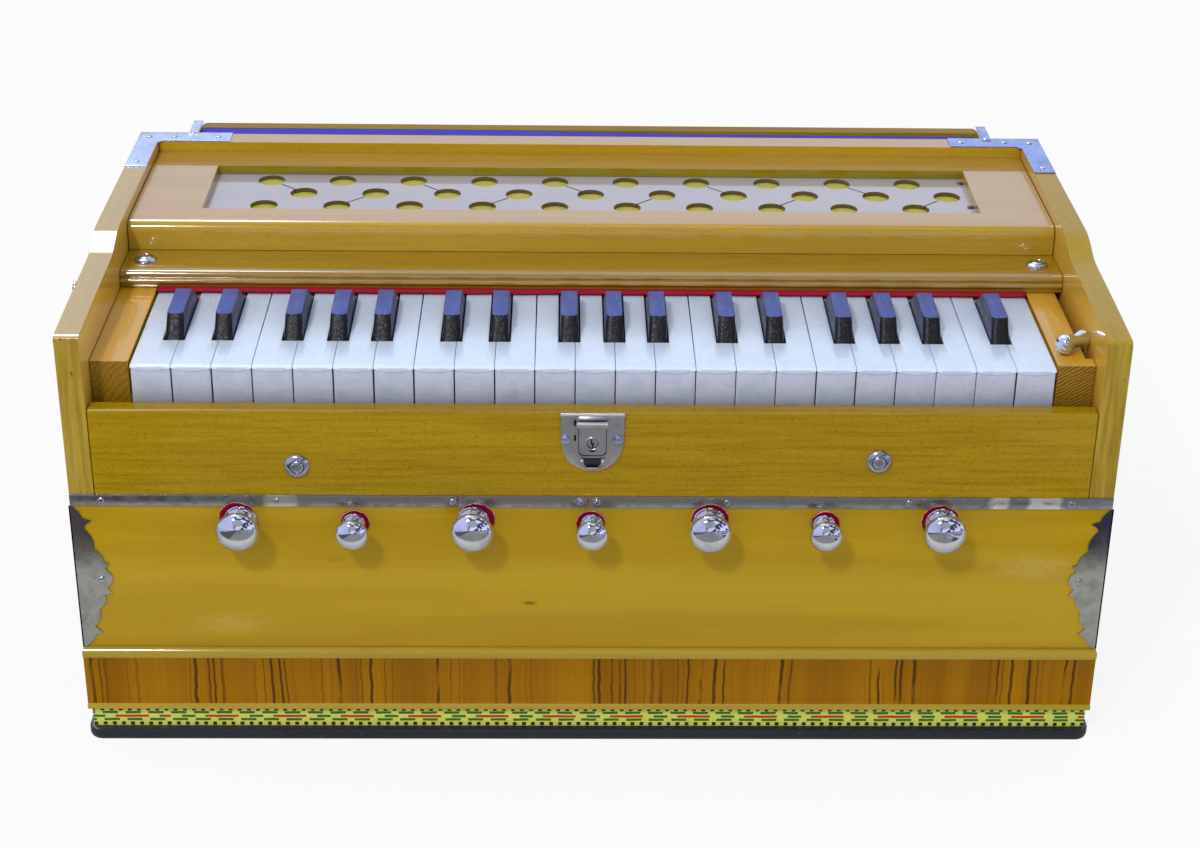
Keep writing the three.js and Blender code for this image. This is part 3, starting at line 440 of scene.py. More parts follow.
def ornament_tape(name, along):
    """Rows of green, red and black dashes on a yellow-green ground."""
    made = Finish(name, roughness=0.4, coat_weight=0.1, coat_roughness=0.12, specular_ior_level=0.2)
    run = made.axis(along) / mm
    run = run + (run > -248.9) * 26.3
    height = made.axis("Z") / mm - tape_foot
    wobble = (made.noise(made.place, 160, 1) - 0.5) * 0.5
    worn = made.noise(made.stretched(), 900, 1) * 0.12

    def row(middle, half, pitch, length, shift):
        inside = abs(height - middle + wobble) < half
        return inside * (((run + shift + wobble) % pitch) < length)

    base = made.mix(made.noise(made.place, 110), (214, 214, 104), (196, 204, 84))
    green = (row(9.0, 0.85, 13.15, 8.8, 6.7) + row(4.2, 0.85, 13.15, 8.8, 6.0)
             + row(6.5, 0.85, 39.1, 7.9, 15.6))
    red = row(6.5, 0.85, 39.1, 19.2, 2.0)
    black = row(10.8, 0.65, 5.27, 2.3, 4.7) + row(1.4, 1.15, 5.27, 2.3, 3.6)
    for dashes, ink, wear in ((green, (4, 98, 36), 1), (red, (180, 26, 22), 1), (black, (36, 20, 20), 0.5)):
        base = made.mix(dashes * (1 - worn * wear), base, ink)
    return made.surface(base, made.noise(made.place, 500), 0.05, 0.5)


def base_paint():
    made = Finish("base_paint", roughness=0.3, coat_weight=0.3, coat_roughness=0.15)
    worn = made.step(made.noise(made.place, 140, 3, 0.6), 0.62, 0.75)
    cloudy = made.noise(made.stretched((0.3, 1, 1)), 30)
    base = made.mix(worn * 0.35, made.mix(cloudy, (18, 20, 30), (30, 34, 50)), (96, 104, 130))
    return made.surface(base, made.noise(made.place, 260, 3), 0.2, 0.5, roughness=cloudy * 0.3 + 0.22)


tape = ornament_tape("tape", "X")
side_tape = ornament_tape("side_tape", "Y")
paint = base_paint()

# %% [markdown]
# ## Keys
# The naturals are pearly white plastic, a little blue. Their tops are nearly clean, while the fronts have
# a crackle of fine grey lines and level ripples. The sharps are black plastic. Their tops are satin and
# take up the blue light from above, which is part of their colour here as a painted reflection. Their
# sides are a lighter grey, a painted sheen, and their fronts are wrinkled and glossy.

# %% Key plastics
def pearl(name, cracks, ripples, pale, shade):
    """White key plastic with crack lines and level ripples of a given strength."""
    made = Finish(name, coat_weight=0.35, coat_roughness=0.08)
    swirl = made.vector("SCALE", {"Vector": made.noise(made.place, 60, 3, output="Color"), "Scale": 0.03})
    bent_place = made.vector("ADD", {"Vector": made.stretched((0.55, 1, 1.3)), "Vector_001": swirl})
    edge = made.add("ShaderNodeTexVoronoi", {"feature": "DISTANCE_TO_EDGE"}, {
        "Vector": bent_place, "Scale": 90})
    some = made.step(made.noise(made.place, 70), 0.46, 0.6)
    crack = (1 - made.step(edge, 0.0, 0.04)) * some * cracks
    cloud = made.noise(made.stretched((1, 0.5, 1)), 120, 3, 0.6)
    ripple = made.noise(made.stretched((0.4, 1, 1.5), (0.3, 0, 0)), 170, 3, 0.6, 0.8)
    return made.surface(made.mix(crack, made.ramp(cloud, 0.3, 0.75, pale, shade), (130, 138, 160)),
                        cloud * 0.6 - crack * 0.6 + ripple * ripples, 0.2, 0.5, roughness=cloud * 0.15 + 0.22)


def black_key(name, wrinkles, dark, light, coat, roughness):
    """Black key plastic, streaked along the key and wrinkled by a given strength."""
    made = Finish(name, coat_weight=coat, coat_roughness=0.08, specular_ior_level=0.3)
    folds = made.noise(made.stretched((1, 1, 0.5)), 700, 2, 0.6, 1.2)
    streaks = made.noise(made.stretched((1, 0.15, 1)), 500, 3, 0.6)
    return made.surface(made.ramp(streaks, 0.4, 0.8, dark, light), folds * wrinkles + streaks * 0.3, 0.5, 0.7,
                        roughness=streaks * 0.14 + roughness)


key_top = pearl("key_top", 0.1, 0.1, (216, 233, 252), (208, 226, 249))
key_front = pearl("key_front", 0.22, 1.6, (196, 204, 224), (184, 193, 214))
sharp_top = black_key("sharp_top", 0.1, (66, 80, 142), (88, 104, 170), 0.0, 0.42)
# The sides' grey is painted sheen on the black plastic.
sharp_side_sheen = black_key("sharp_side_sheen", 0.3, (66, 68, 88), (116, 118, 140), 0.0, 0.4)
sharp_front = black_key("sharp_front", 0.7, (4, 6, 14), (8, 12, 26), 0.4, 0.2)

# %% [markdown]
# ## Metals, plastics and cloth
# Knobs, plates and screws are nickel plated: mirror-like, with faint dull clouds. The joint strip is
# tinplate that isn't quite flat, so a few of its bends catch the light. They are painted in as glints at
# their places, because a bend of a tenth of a millimetre would need far more mesh. The grille is a grey
# acrylic sheet over yellow gauze. The felt is red wool, and the bellows are blue cloth on card.

# %% Plating
def plating(name, tone, roughness=0.1, clouds=0.12, brushed=0.0, glints=()):
    """Nickel plate, mirror-like or dull. Glints are bright bends: (x, half width, strength), in mm."""
    made = Finish(name, metallic=1)
    dull = made.noise(made.place, 120, 3, 0.6)
    scratch = made.noise(made.stretched((0.05, 1, 1)), 1500)
    plated = made.ramp(dull, 0.4, 0.75, tone, darker(tone, 0.72))
    for x, half, strength in glints:
        bright = 1 - made.step(abs(made.axis("X") / mm - x + dull * 8 - 4), half - 2, half + 2)
        plated = made.mix(bright * strength, plated, (240, 238, 230))
    return made.surface(plated, dull + scratch * brushed * 2, 0.12, 0.25,
                        roughness=made.step(dull, 0.35, 0.8) * clouds + scratch * brushed + roughness)


chrome = plating("chrome", (226, 230, 240), 0.04, 0.06)
plate_metal = plating("plate_metal", (200, 199, 201), 0.24, 0.14, 0.1)
strip_metal = plating("strip_metal", (164, 164, 168), 0.16, 0.3, 0.1,
                      glints=((-173, 9, 0.5), (226, 5, 1), (251, 9, 1)))
corner_metal = plating("corner_metal", (178, 178, 178), 0.08, 0.12)
# Both brackets are one plated metal; their blue is painted reflection, and the right copy is darker as
# painted shade.
lit_blue_sheen_metal = plating("lit_blue_sheen_metal", (196, 210, 250), 0.2, 0.15)
shaded_blue_sheen_metal = plating("shaded_blue_sheen_metal", (156, 172, 222), 0.2, 0.15)
screw_metal = plating("screw_metal", (186, 190, 200), 0.14, 0.15)
dark_screw = plating("dark_screw", (84, 74, 62), 0.3, 0.15)


# %% Acrylic, gauze, felt, bellows cloth and painted shade for recesses
def acrylic(name, dull, clear):
    made = Finish(name, coat_weight=0.6, coat_roughness=0.03, specular_ior_level=0.6)
    haze = made.noise(made.stretched((0.4, 1, 1)), 26, 3)
    return made.surface(made.mix(haze, dull, clear), made.noise(made.place, 20, 1), 0.15, 0.2,
                        roughness=haze * 0.12 + 0.06)


def woven(name, pale, deep, threads, depth):
    """Cloth as two crossing sets of threads, with painted shade in the weave's dips."""
    made = Finish(name, roughness=0.9, sheen_weight=0.1, sheen_roughness=0.5)
    x, y, z = (made.axis(a) * threads for a in "XYZ")
    fluff = made.noise(made.place, threads * 0.4, 3, 0.7)
    relief = made.step((x + z).sine() * (y - z).sine() + (fluff - 0.5) * 0.3 * 4, -0.9, 0.9)
    base = made.mix(relief * 0.6 + made.noise(made.place, 40) * 0.4, deep, pale)
    return made.surface(base, relief, depth, 0.8)


def felt(name, deep, pale):
    made = Finish(name, roughness=0.95, specular_ior_level=0.1)
    fibres = made.noise(made.stretched((0.5, 1, 1)), 1400, 4, 0.75, 1.5)
    return made.surface(made.mix(fibres * 0.7 + made.noise(made.place, 60) * 0.4, deep, pale),
                        fibres, 0.5, 0.9)


# Near-black painted shade for slots, holes, backings and recesses.
def painted_shade_finish():
    made = Finish("slot_dark", roughness=0.7)
    base = made.mix(made.noise(made.place, 300), (16, 16, 18), (38, 36, 38))
    return made.surface(base, made.noise(made.place, 500), 0.1, 0.5)


grille_plastic = acrylic("grille_plastic", (162, 156, 162), (182, 176, 184))
# The holes' dark brown walls are painted shade inside the holes.
hole_wall_shade = acrylic("hole_wall_shade", (74, 60, 40), (98, 84, 62))
gauze_cloth = woven("gauze_cloth", (210, 204, 96), (176, 164, 50), 3400, 0.15)
bellows_cloth = woven("bellows_cloth", (92, 84, 206), (60, 52, 168), 5200, 0.12)
red_felt = felt("red_felt", (122, 18, 34), (182, 44, 62))
# The washers' red, darker than the strip's felt, is painted shade.
shaded_washer_felt = felt("shaded_washer_felt", (92, 2, 26), (150, 8, 42))
pale_felt = felt("pale_felt", (206, 160, 170), (238, 214, 216))
slot_dark = painted_shade_finish()
print(len(bpy.data.materials), "finishes are made")

# %% [markdown]
# ## Working with the CAD shapes
# A CAD node arrives as loose triangles with knife edges. Real wood and metal edges are eased, and that
# thin highlight is what tells the eye how big a thing is. The edges could be faked with a bevel shader,
# but then the mesh itself stays sharp. So a copy of the node is merged into whole faces and given a
# real bevel, and it stands for the node.

# %% Helpers for meshes
def of_kind(geom, kind):
    return [g for g in geom if isinstance(g, kind)]


def whole(bm):
    return bm.verts[:] + bm.edges[:] + bm.faces[:]


def flattened(bm):
    bmesh.ops.dissolve_limit(bm, angle_limit=math.radians(0.4), verts=bm.verts, edges=bm.edges)


def skin(node):
    """A CAD node's shape, its triangles merged into whole faces."""
    bm = bmesh.new()
    bm.from_mesh(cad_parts[node].data)
    bmesh.ops.remove_doubles(bm, verts=bm.verts, dist=0.004 * mm)
    flattened(bm)
    return bm


def filled(bm, edges, normal):
    """Fills closed outlines. An outline inside another one stays open."""
    faces = bmesh.ops.triangle_fill(bm, use_beauty=True, edges=edges, normal=normal)["geom"]
    return of_kind(faces, bmesh.types.BMFace)


def pushed(bm, faces, way, keep=False):
    """Extrudes faces along a vector. Returns what has moved."""
    grown = bmesh.ops.extrude_face_region(bm, geom=faces, use_keep_orig=keep)["geom"]
    bmesh.ops.translate(bm, vec=way, verts=of_kind(grown, bmesh.types.BMVert))
    return grown


def scored(bm, place, normal):
    """Draws a line all round a shape where a plane meets it."""
    bmesh.ops.bisect_plane(bm, geom=whole(bm), plane_co=place, plane_no=normal)


def sliced(bm, place, normal):
    """Saws a shape and closes the cut. What lies on the normal's side falls away."""
    cut = bmesh.ops.bisect_plane(bm, geom=whole(bm), dist=1e-7, plane_co=place, plane_no=normal,
                                 clear_outer=True)
    rim = of_kind(cut["geom_cut"], bmesh.types.BMEdge)
    if rim:
        filled(bm, rim, normal)
        flattened(bm)
    bmesh.ops.recalc_face_normals(bm, faces=bm.faces)
    return bm


def block(bm, low, high):
    """A block between two corners. Returns its vertices."""
    verts = bmesh.ops.create_cube(bm, size=1)["verts"]
    bmesh.ops.scale(bm, vec=high - low, verts=verts)
    bmesh.ops.translate(bm, vec=(low + high) / 2, verts=verts)
    return verts


def eased(bm, edges, width, segments=2):
    """A real bevel along these edges, width in millimetres."""
    return bmesh.ops.bevel(bm, geom=edges, offset=width * mm, offset_type="OFFSET", segments=segments,
                           profile=0.5, affect="EDGES", clamp_overlap=True, material=-1)


def sharp_edges(bm, degrees=40):
    return [e for e in bm.edges if len(e.link_faces) == 2 and e.calc_face_angle(0) > math.radians(degrees)]


def joined(bm, other):
    """Adds another shape to this one."""
    carrier = bpy.data.meshes.new("carrier")
    other.to_mesh(carrier)
    other.free()
    bm.from_mesh(carrier)
    bpy.data.meshes.remove(carrier)
    return bm


def placed(name, bm, finishes):
    """Makes the shape an object with its finishes."""
    mesh = bpy.data.meshes.new(name)
    bm.to_mesh(mesh)
    bm.free()
    for finish in finishes if isinstance(finishes, (list, tuple)) else [finishes]:
        mesh.materials.append(finish.material)
    mesh.shade_smooth()
    made = bpy.data.objects.new(name, mesh)
    scene.collection.objects.link(made)
    return made


def piece(name, bm, body, finishes, stands_for=(), smooth=32):
    """An object that rides on a body. Edges sharper than the smooth angle stay crisp."""
    made = placed(name, bm, finishes)
    made.data.set_sharp_from_angle(angle=math.radians(smooth))
    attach(made, body)
    if stands_for:
        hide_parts(*stands_for)
    return made


def rounded(made, width, segments=2, degrees=38):
    """A bevel modifier on every edge sharper than an angle, or on the weighted edges if degrees is None."""
    edge = made.modifiers.new("eased edges", "BEVEL")
    edge.width, edge.segments = width * mm, segments
    if degrees is None:
        edge.limit_method = "WEIGHT"
    else:
        edge.limit_method, edge.angle_limit = "ANGLE", math.radians(degrees)
    edge.harden_normals = True
    edge.use_clamp_overlap = True


# %% [markdown]
# ## Base board and plinth
# One solid holds four things that are made apart: the painted base board, the tape in its recess, two
# pale beads, and the veneer between them. Cutting it up would leave seams, so one skin gets several
# finishes, each face by its height and the way it faces. The hollow inside stays bare wood.

# %% Base board and plinth
tape_top, veneer_low, veneer_high, hollow_reach = 20.3, 24.5, 55.5, 280
bm = skin("base_tray")
for face in bm.faces:
    where = face.calc_center_median()
    height = where.z / mm
    sideways = int(abs(face.normal.x) > 0.5)
    upright = abs(face.normal.z) < 0.5
    inward = face.normal.xy.dot(where.xy) < -1e-6 and upright
    reach = max(abs(vert.co.x) for vert in face.verts)
    if height < tape_foot + 0.5 and not (face.normal.z > 0.9 and reach < hollow_reach * mm):
        face.material_index = 0
    elif inward or height < tape_foot + 0.5:
        face.material_index = 7
    elif height < tape_top - 0.01 and upright:
        face.material_index = 1 + sideways
    elif veneer_low + 0.1 < height < veneer_high - 0.1:
        face.material_index = 5 + sideways
    else:
        face.material_index = 3 + sideways
rounded(piece("base_and_plinth", bm, "case", [
    paint, tape, side_tape, bead_wood, side_bead_wood, veneer, side_veneer, bare_wood], ["base_tray"]), 0.3)

# %% [markdown]
# ## Side boards
# The cheeks are thick boards with an ogee step in the top edge, rounded over by hand. The long top edges
# are rounded widely, the front ones less and all others hardly at all. One bevel modifier does this when
# every edge carries its share of the width as a weight, and the edges stay clean where they meet.

# %% Side boards
for name, top_wood, inner_way in (("left_side", left_cheek_sheen_wood, 1), ("right_side", cheek_wood, -1)):
    bm = skin(name)
    share = bm.edges.layers.float.new("bevel_weight_edge")
    for edge in sharp_edges(bm, 40):
        normals = [f.normal for f in edge.link_faces]
        along_side = any(abs(n.x) > 0.9 for n in normals)
        edge[share] = 0.15
        if along_side and any(n.z > 0.3 for n in normals):
            edge[share] = 1
        elif along_side and any(n.y < -0.9 for n in normals):
            edge[share] = 0.45
    # Inner faces take the brighter wood, painted light.
    # The left board's paler wood is painted sheen.
    for face in bm.faces:
        inward = face.normal.x * inner_way > 0.9
        face.material_index = 1 if face.normal.y < -0.75 else 2 if inward else 0
    made = piece(name + "_board", bm, "case", [top_wood, cheek_end, inner_face_lit_wood], [name], smooth=40)
    rounded(made, 3.8, 6, None)

# %% [markdown]
# ## Front panel, key slip and back board
# Each of these CAD solids carries its metal fittings. The wood is the same solid sawn just behind the
# fittings' planes, and the fittings follow as pieces of their own, with thickness and screws.

# %% Boards that carry metal
strip_low, strip_high, case_half, tinplate = 153.8, 161.0, 289, 0.8
rail_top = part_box("left_side")[1].z
wood_front = spot(0, 0.05, 0)
bm = sliced(skin("front_panel"), wood_front, (0, -1, 0))
for side in (-1, 1):
    sliced(bm, spot(side * (case_half + 0.02), 0, 0), (side, 0, 0))
rounded(piece("stop_panel", bm, "case", panel_wood, ["front_panel"]), 0.5)
bm = sliced(skin("key_slip"), wood_front, (0, -1, 0))
rounded(piece("slip_board", bm, "case", slip_wood, ["key_slip"]), 1.1, 3)
bm = sliced(skin("back_board"), Vector((0, 0, rail_top - 0.05 * mm)), (0, 0, 1))
# The rail's flat top takes the pale copy, a painted sheen.
for face in bm.faces:
    face.material_index = int(face.normal.z > 0.9 and face.calc_center_median().z > rail_top - mm)
rounded(piece("rear_rail", bm, "case", [rail_wood, top_sheen_wood], ["back_board"]), 0.8)

# %% [markdown]
# ## Batten, grille frame and key blocks
# These CAD shapes are right as they are. The copies get eased edges. On the frame, the flat top is paler
# than the moulded front: a painted sheen. One line across it parts a rear strip, whose golden tone is a
# painted reflection of the rear rail, and the window's rear wall is darker, a painted shade. The reed
# board's copy gets varnish on the two key blocks, made brighter as painted light, end grain on their
# fronts and bare wood elsewhere.

# %% Batten, grille frame and reed board
rounded(piece("beaded_batten", skin("key_batten"), "case", batten_wood, ["key_batten"], smooth=50),
        0.4, 2, 60)
rear_part = spot(0, 240, 0)
bm = skin("grille_frame")
scored(bm, rear_part, (0, 1, 0))
inner_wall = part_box("grille_plate")[1].y - 6 * mm
# Tops get painted sheen, the rear strip a painted rail reflection, the window's rear wall painted shade.
for face in bm.faces:
    where = face.calc_center_median()
    if face.normal.z > 0.9 and where.z > 255 * mm:
        face.material_index = 3 if where.y > rear_part.y else 1
    elif face.normal.y < -0.5 and where.y > inner_wall:
        face.material_index = 2
rounded(piece("grille_surround", bm, "case", [
    frame_wood, top_sheen_wood, window_wall_shade_wood, rail_reflection_wood], ["grille_frame"], smooth=40), 0.7, 2, 50)

reed_top, block_foot, block_start = 212.2 * mm, 170 * mm, 254 * mm
bm = skin("reed_board")
# The key blocks take the brighter wood, painted light.
for face in bm.faces:
    where = face.calc_center_median()
    on_block = abs(where.x) > block_start and where.z > block_foot
    if on_block and not (abs(face.normal.z) > 0.9 and where.z < reed_top):
        face.material_index = 1
        if face.normal.y < -0.9 and where.y < front + 19 * mm:
            face.material_index = 2 if where.x > 0 else 3
rounded(piece("reed_board_and_blocks", bm, "case", [
    bare_wood, block_lit_wood, block_end, left_block_end], ["reed_board"]), 0.5)

# %% [markdown]
# ## Grille
# The acrylic sheet has three staggered rows of round holes, and fine saw kerfs join some of them. Boolean
# cuts would do it, but a drawing is cleaner: the sheet's outline and every hole are edge loops, the fill
# leaves the holes open, and one extrusion gives the thickness. A kerf is part of the loop round two holes.
# The gauze below is a fine grid that sags a little at random.

# %% Grille sheet and gauze
def loop(bm, points):
    """A closed ring of edges through these points."""
    verts = [bm.verts.new(p) for p in points]
    return [bm.edges.new((a, b)) for a, b in zip(verts, verts[1:] + verts[:1])]


def arc(x, y, radius, start, end, steps):
    """Points on an arc, from one angle to the other."""
    angles = [start + (end - start) * i / steps for i in range(steps + 1)]
    return [(x + radius * math.cos(a), y + radius * math.sin(a)) for a in angles]


sheet_low, sheet_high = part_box("grille_plate")
hole_radius, hole_pitch, row_pitch, kerf = 8.35 * mm, 44.2 * mm, 20.65 * mm, 0.5 * mm
hole_shift, columns, hole_steps = -1 * mm, 10, 39
row_y = spot(0, 209.2, 0).y
top_z = sheet_high.z
slit = math.asin(kerf / hole_radius)
drawn = [[(sheet_low.x, sheet_low.y), (sheet_high.x, sheet_low.y), (sheet_high.x, sheet_high.y),
          (sheet_low.x, sheet_high.y)]]
for column in range(columns):
    x = (column - (columns - 1) / 2) * hole_pitch + hole_shift
    rows = (row_y + row_pitch, row_y - row_pitch)
    kerfed, plain = rows[column % 2], rows[1 - column % 2]
    turn = math.atan2(row_y - kerfed, hole_pitch / 2)
    drawn.append(arc(x, kerfed, hole_radius, turn + slit, turn + 2 * math.pi - slit, hole_steps)
                 + arc(x + hole_pitch / 2, row_y, hole_radius, turn + math.pi + slit,
                       turn + 3 * math.pi - slit, hole_steps))
    drawn.append(arc(x, plain, hole_radius, 0, 2 * math.pi * hole_steps / (hole_steps + 1), hole_steps))
bm = bmesh.new()
edges = [e for points in drawn for e in loop(bm, [Vector((x, y, top_z)) for x, y in points])]
pushed(bm, filled(bm, edges, (0, 0, 1)), (0, 0, sheet_low.z - top_z))
bmesh.ops.recalc_face_normals(bm, faces=bm.faces)
# Upright faces are the hole walls, given painted shade.
for face in bm.faces:
    face.material_index = int(abs(face.normal.z) < 0.5)
piece("grille_sheet", bm, "case", [grille_plastic, hole_wall_shade], ["grille_plate"], smooth=25)

gauze_gap = 0.35 * mm
gauze_size = (sheet_high.x - sheet_low.x, sheet_high.y - sheet_low.y)
bm = bmesh.new()
bmesh.ops.create_grid(bm, x_segments=120, y_segments=20, size=0.5)
bmesh.ops.scale(bm, vec=(*gauze_size, 1), verts=bm.verts)
bmesh.ops.translate(bm, vec=(0, (sheet_low.y + sheet_high.y) / 2, sheet_low.z - gauze_gap), verts=bm.verts)
for vert in bm.verts:
    vert.co.z += (noise.noise(vert.co * 35) - 0.6) * gauze_gap
gauze = piece("gauze", bm, "case", gauze_cloth)
print("grille holes:", 3 * columns)

# %% [markdown]
# ## Naturals
# A natural is a wooden lever with a moulded cover: a flat top with eased edges, cut back beside the
# sharps, and an apron in front. Under the lip the apron is scooped, so that the lip's lower edge is a
# shallow arc. The plan is drawn as one face, extruded up for the cover and down for the apron, and two
# saw lines under the lip carry the scoop. No two aprons are quite equal in width, so each key's own name
# seeds a small difference. The lever and its pallet come from the CAD copy.

# %% Naturals
key_names = [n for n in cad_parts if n.startswith("key_") and n not in ("key_slip", "key_batten")]
naturals = [n for n in key_names if "sharp" not in n]
sharps = [n for n in key_names if "sharp" in n]
key_top_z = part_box(naturals[0])[1].z
lever_top = key_top_z - 2.2 * mm
apron_thick, apron_high = 3 * mm, 24 * mm
sharp_front_y, cover_gap = 47.8, 0.8
shoulder_y = spot(0, sharp_front_y - cover_gap, 0).y
cover_end = spot(0, 112, 0).y
lip_drop, lip_line, scoop, scoop_depth = 1.6 * mm, 0.35 * mm, 1.7 * mm, 0.55 * mm
cover_overhang, hair = 0.24 * mm, 0.01 * mm


def tail_of(node):
    """The left and right side of a key's cover behind the shoulder, from the CAD mesh."""
    xs = [v.co.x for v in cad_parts[node].data.vertices
          if abs(v.co.z - lever_top) < 0.3 * mm and abs(v.co.y - cover_end) < 0.8 * mm]
    return min(xs), max(xs)


def natural(node):
    low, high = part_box(node)
    left, right, start = low.x - cover_overhang, high.x + cover_overhang, low.y
    apron_back = start + apron_thick
    tail_left, tail_right = tail_of(node)

    def across(x):
        """-1 at the cover's left side, 1 at its right side."""
        return (x - left) / (right - left) * 2 - 1

    plan = [(left, start), (right, start)]
    if tail_right < right - mm:
        plan += [(right, shoulder_y), (tail_right, shoulder_y)]
    plan += [(tail_right, cover_end), (tail_left, cover_end)]
    if tail_left > left + mm:
        plan += [(tail_left, shoulder_y), (left, shoulder_y)]
    bm = bmesh.new()
    bm.faces.new([bm.verts.new((x, y, lever_top)) for x, y in plan])
    scored(bm, (0, apron_back, 0), (0, 1, 0))
    bottom = bm.faces[:]
    pushed(bm, bottom, (0, 0, key_top_z - lever_top), keep=True)
    strip = [f for f in bottom if f.calc_center_median().y < apron_back]
    pushed(bm, strip, (0, 0, key_top_z - apron_high - lever_top))
    bmesh.ops.recalc_face_normals(bm, faces=bm.faces)
    flattened(bm)
    eased(bm, [e for e in bm.edges if all(abs(v.co.y - start) < 1e-6 and abs(v.co.z - key_top_z) < 1e-6
                                          for v in e.verts)], 1.7, 5)
    eased(bm, [e for e in sharp_edges(bm, 60) if e.calc_length() > 1.2 * mm], 0.3, 2)
    lip_foot = key_top_z - lip_drop
    scoop_foot = lip_foot - lip_line
    for height in (lip_foot, scoop_foot):
        scored(bm, (0, 0, height), (0, 0, 1))
    for i in range(1, 8):
        scored(bm, (left + (right - left) * i / 8, 0, 0), (1, 0, 0))
    for vert in bm.verts:
        if vert.co.y < start + 0.4 * mm and vert.co.z < lip_foot + 1e-6:
            on_saw_line = vert.co.z > scoop_foot - hair
            if vert.co.z < scoop_foot + hair:
                vert.co.y += scoop_depth
            if on_saw_line:
                vert.co.z -= scoop * (1 - across(vert.co.x) ** 2)
    narrower = random.Random(node).uniform(0, 0.36) * mm
    for vert in bm.verts:
        if vert.co.z < scoop_foot + hair and vert.co.y < apron_back + 0.1 * mm:
            vert.co.x -= narrower * across(vert.co.x)
    bm.normal_update()
    for face in bm.faces:
        face.material_index = int(face.calc_center_median().z < lip_foot - 0.2 * mm)
    lever = sliced(skin(node), Vector((0, 0, lever_top - 0.02 * mm)), (0, 0, 1))
    lever = sliced(lever, Vector((0, apron_back + 0.02 * mm, 0)), (0, -1, 0))
    for face in lever.faces:
        face.material_index = 2
    return joined(bm, lever)


for node in naturals:
    piece(node.replace("key_", "natural_"), natural(node), node, [key_top, key_front, lever_wood],
          [node], smooth=35)
print(len(naturals), "naturals")

# %% [markdown]
# ## Sharps
# A sharp is a raked and tapered block. A cube is scaled to the block's foot, its top corners are moved in
# to the rake and the taper, and its edges are eased: the two upright ones in front with a wide round, which
# makes the front bulge, and the others finely.

# %% Sharps
sharp_top_z = max(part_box(n)[1].z for n in sharps)
sharp_long, front_rake, rear_rake, top_share = 60 * mm, 9 * mm, 18 * mm, 9.2 / 10.8


def sharp(node):
    low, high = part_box(node)
    foot_front = spot(0, sharp_front_y, 0).y
    foot = lever_top - 0.4 * mm
    middle = (low.x + high.x) / 2
    bm = bmesh.new()
    block(bm, Vector((low.x, foot_front, foot)), Vector((high.x, foot_front + sharp_long, sharp_top_z)))
    for vert in bm.verts:
        if vert.co.z > key_top_z:
            vert.co.x = middle + (vert.co.x - middle) * top_share
            vert.co.y += front_rake if vert.co.y < foot_front + mm else -rear_rake
    eased(bm, [e for e in bm.edges if all(v.co.y < foot_front + 10 * mm for v in e.verts)
               and abs(e.verts[0].co.z - e.verts[1].co.z) > mm], 2.8, 6)
    eased(bm, [e for e in sharp_edges(bm, 50) if min(v.co.z for v in e.verts) > key_top_z], 0.5, 3)
    bm.normal_update()
    for face in bm.faces:
        if face.normal.y < -0.32 and face.normal.z < 0.85:
            face.material_index = 1
        elif face.normal.z < 0.5:
            face.material_index = 2
    lever = sliced(skin(node), Vector((0, 0, foot)), (0, 0, 1))
    for face in lever.faces:
        face.material_index = 3
    return joined(bm, lever)


for node in sharps:
    piece(node.replace("key_", "black_"), sharp(node), node,
          [sharp_top, sharp_front, sharp_side_sheen, lever_wood], [node], smooth=38)
print(len(sharps), "sharps")

# %% [markdown]
# ## Turned metal
# Knobs, washers and screw heads are all turned, so each is a profile spun round its axis. The profile is
# drawn from the axis outwards, and the spin merges its seam and its poles.

# %% The lathe
def turned(profile, steps=40):
    """A lathe-turned shape about Z from (radius, height) pairs in millimetres."""
    bm = bmesh.new()
    verts = [bm.verts.new((radius * mm, 0, height * mm)) for radius, height in profile]
    edges = [bm.edges.new(pair) for pair in zip(verts, verts[1:])]
    bmesh.ops.spin(bm, geom=verts + edges, cent=(0, 0, 0), axis=(0, 0, 1), angle=2 * math.pi, steps=steps,
                   use_merge=True, use_duplicate=False)
    bmesh.ops.remove_doubles(bm, verts=bm.verts, dist=0.002 * mm)
    bmesh.ops.recalc_face_normals(bm, faces=bm.faces)
    return bm


def set_down(shape, place, facing):
    """Turns a shape from Z to a direction and puts it down at a place."""
    turn = Vector((0, 0, 1)).rotation_difference(Vector(facing)).to_matrix().to_4x4()
    bmesh.ops.transform(shape, matrix=Matrix.Translation(place) @ turn, verts=shape.verts)
    return shape


def set_on(bm, shape, place, facing):
    """Sets a shape down and joins it to another one."""
    return joined(bm, set_down(shape, place, facing))


to_player, upwards, to_right = (0, -1, 0), (0, 0, 1), (1, 0, 0)


# %% [markdown]
# ## Stop knobs
# Each knob is one turning: rod, stepped collar, waist and a domed cap like a mushroom's. The main stops are
# larger than the drones. A washer of felt, white below and red above, lies between collar and panel. It
# was cut by hand, so noise moves its rim, and where it reaches up to the joint strip it is pressed thin.

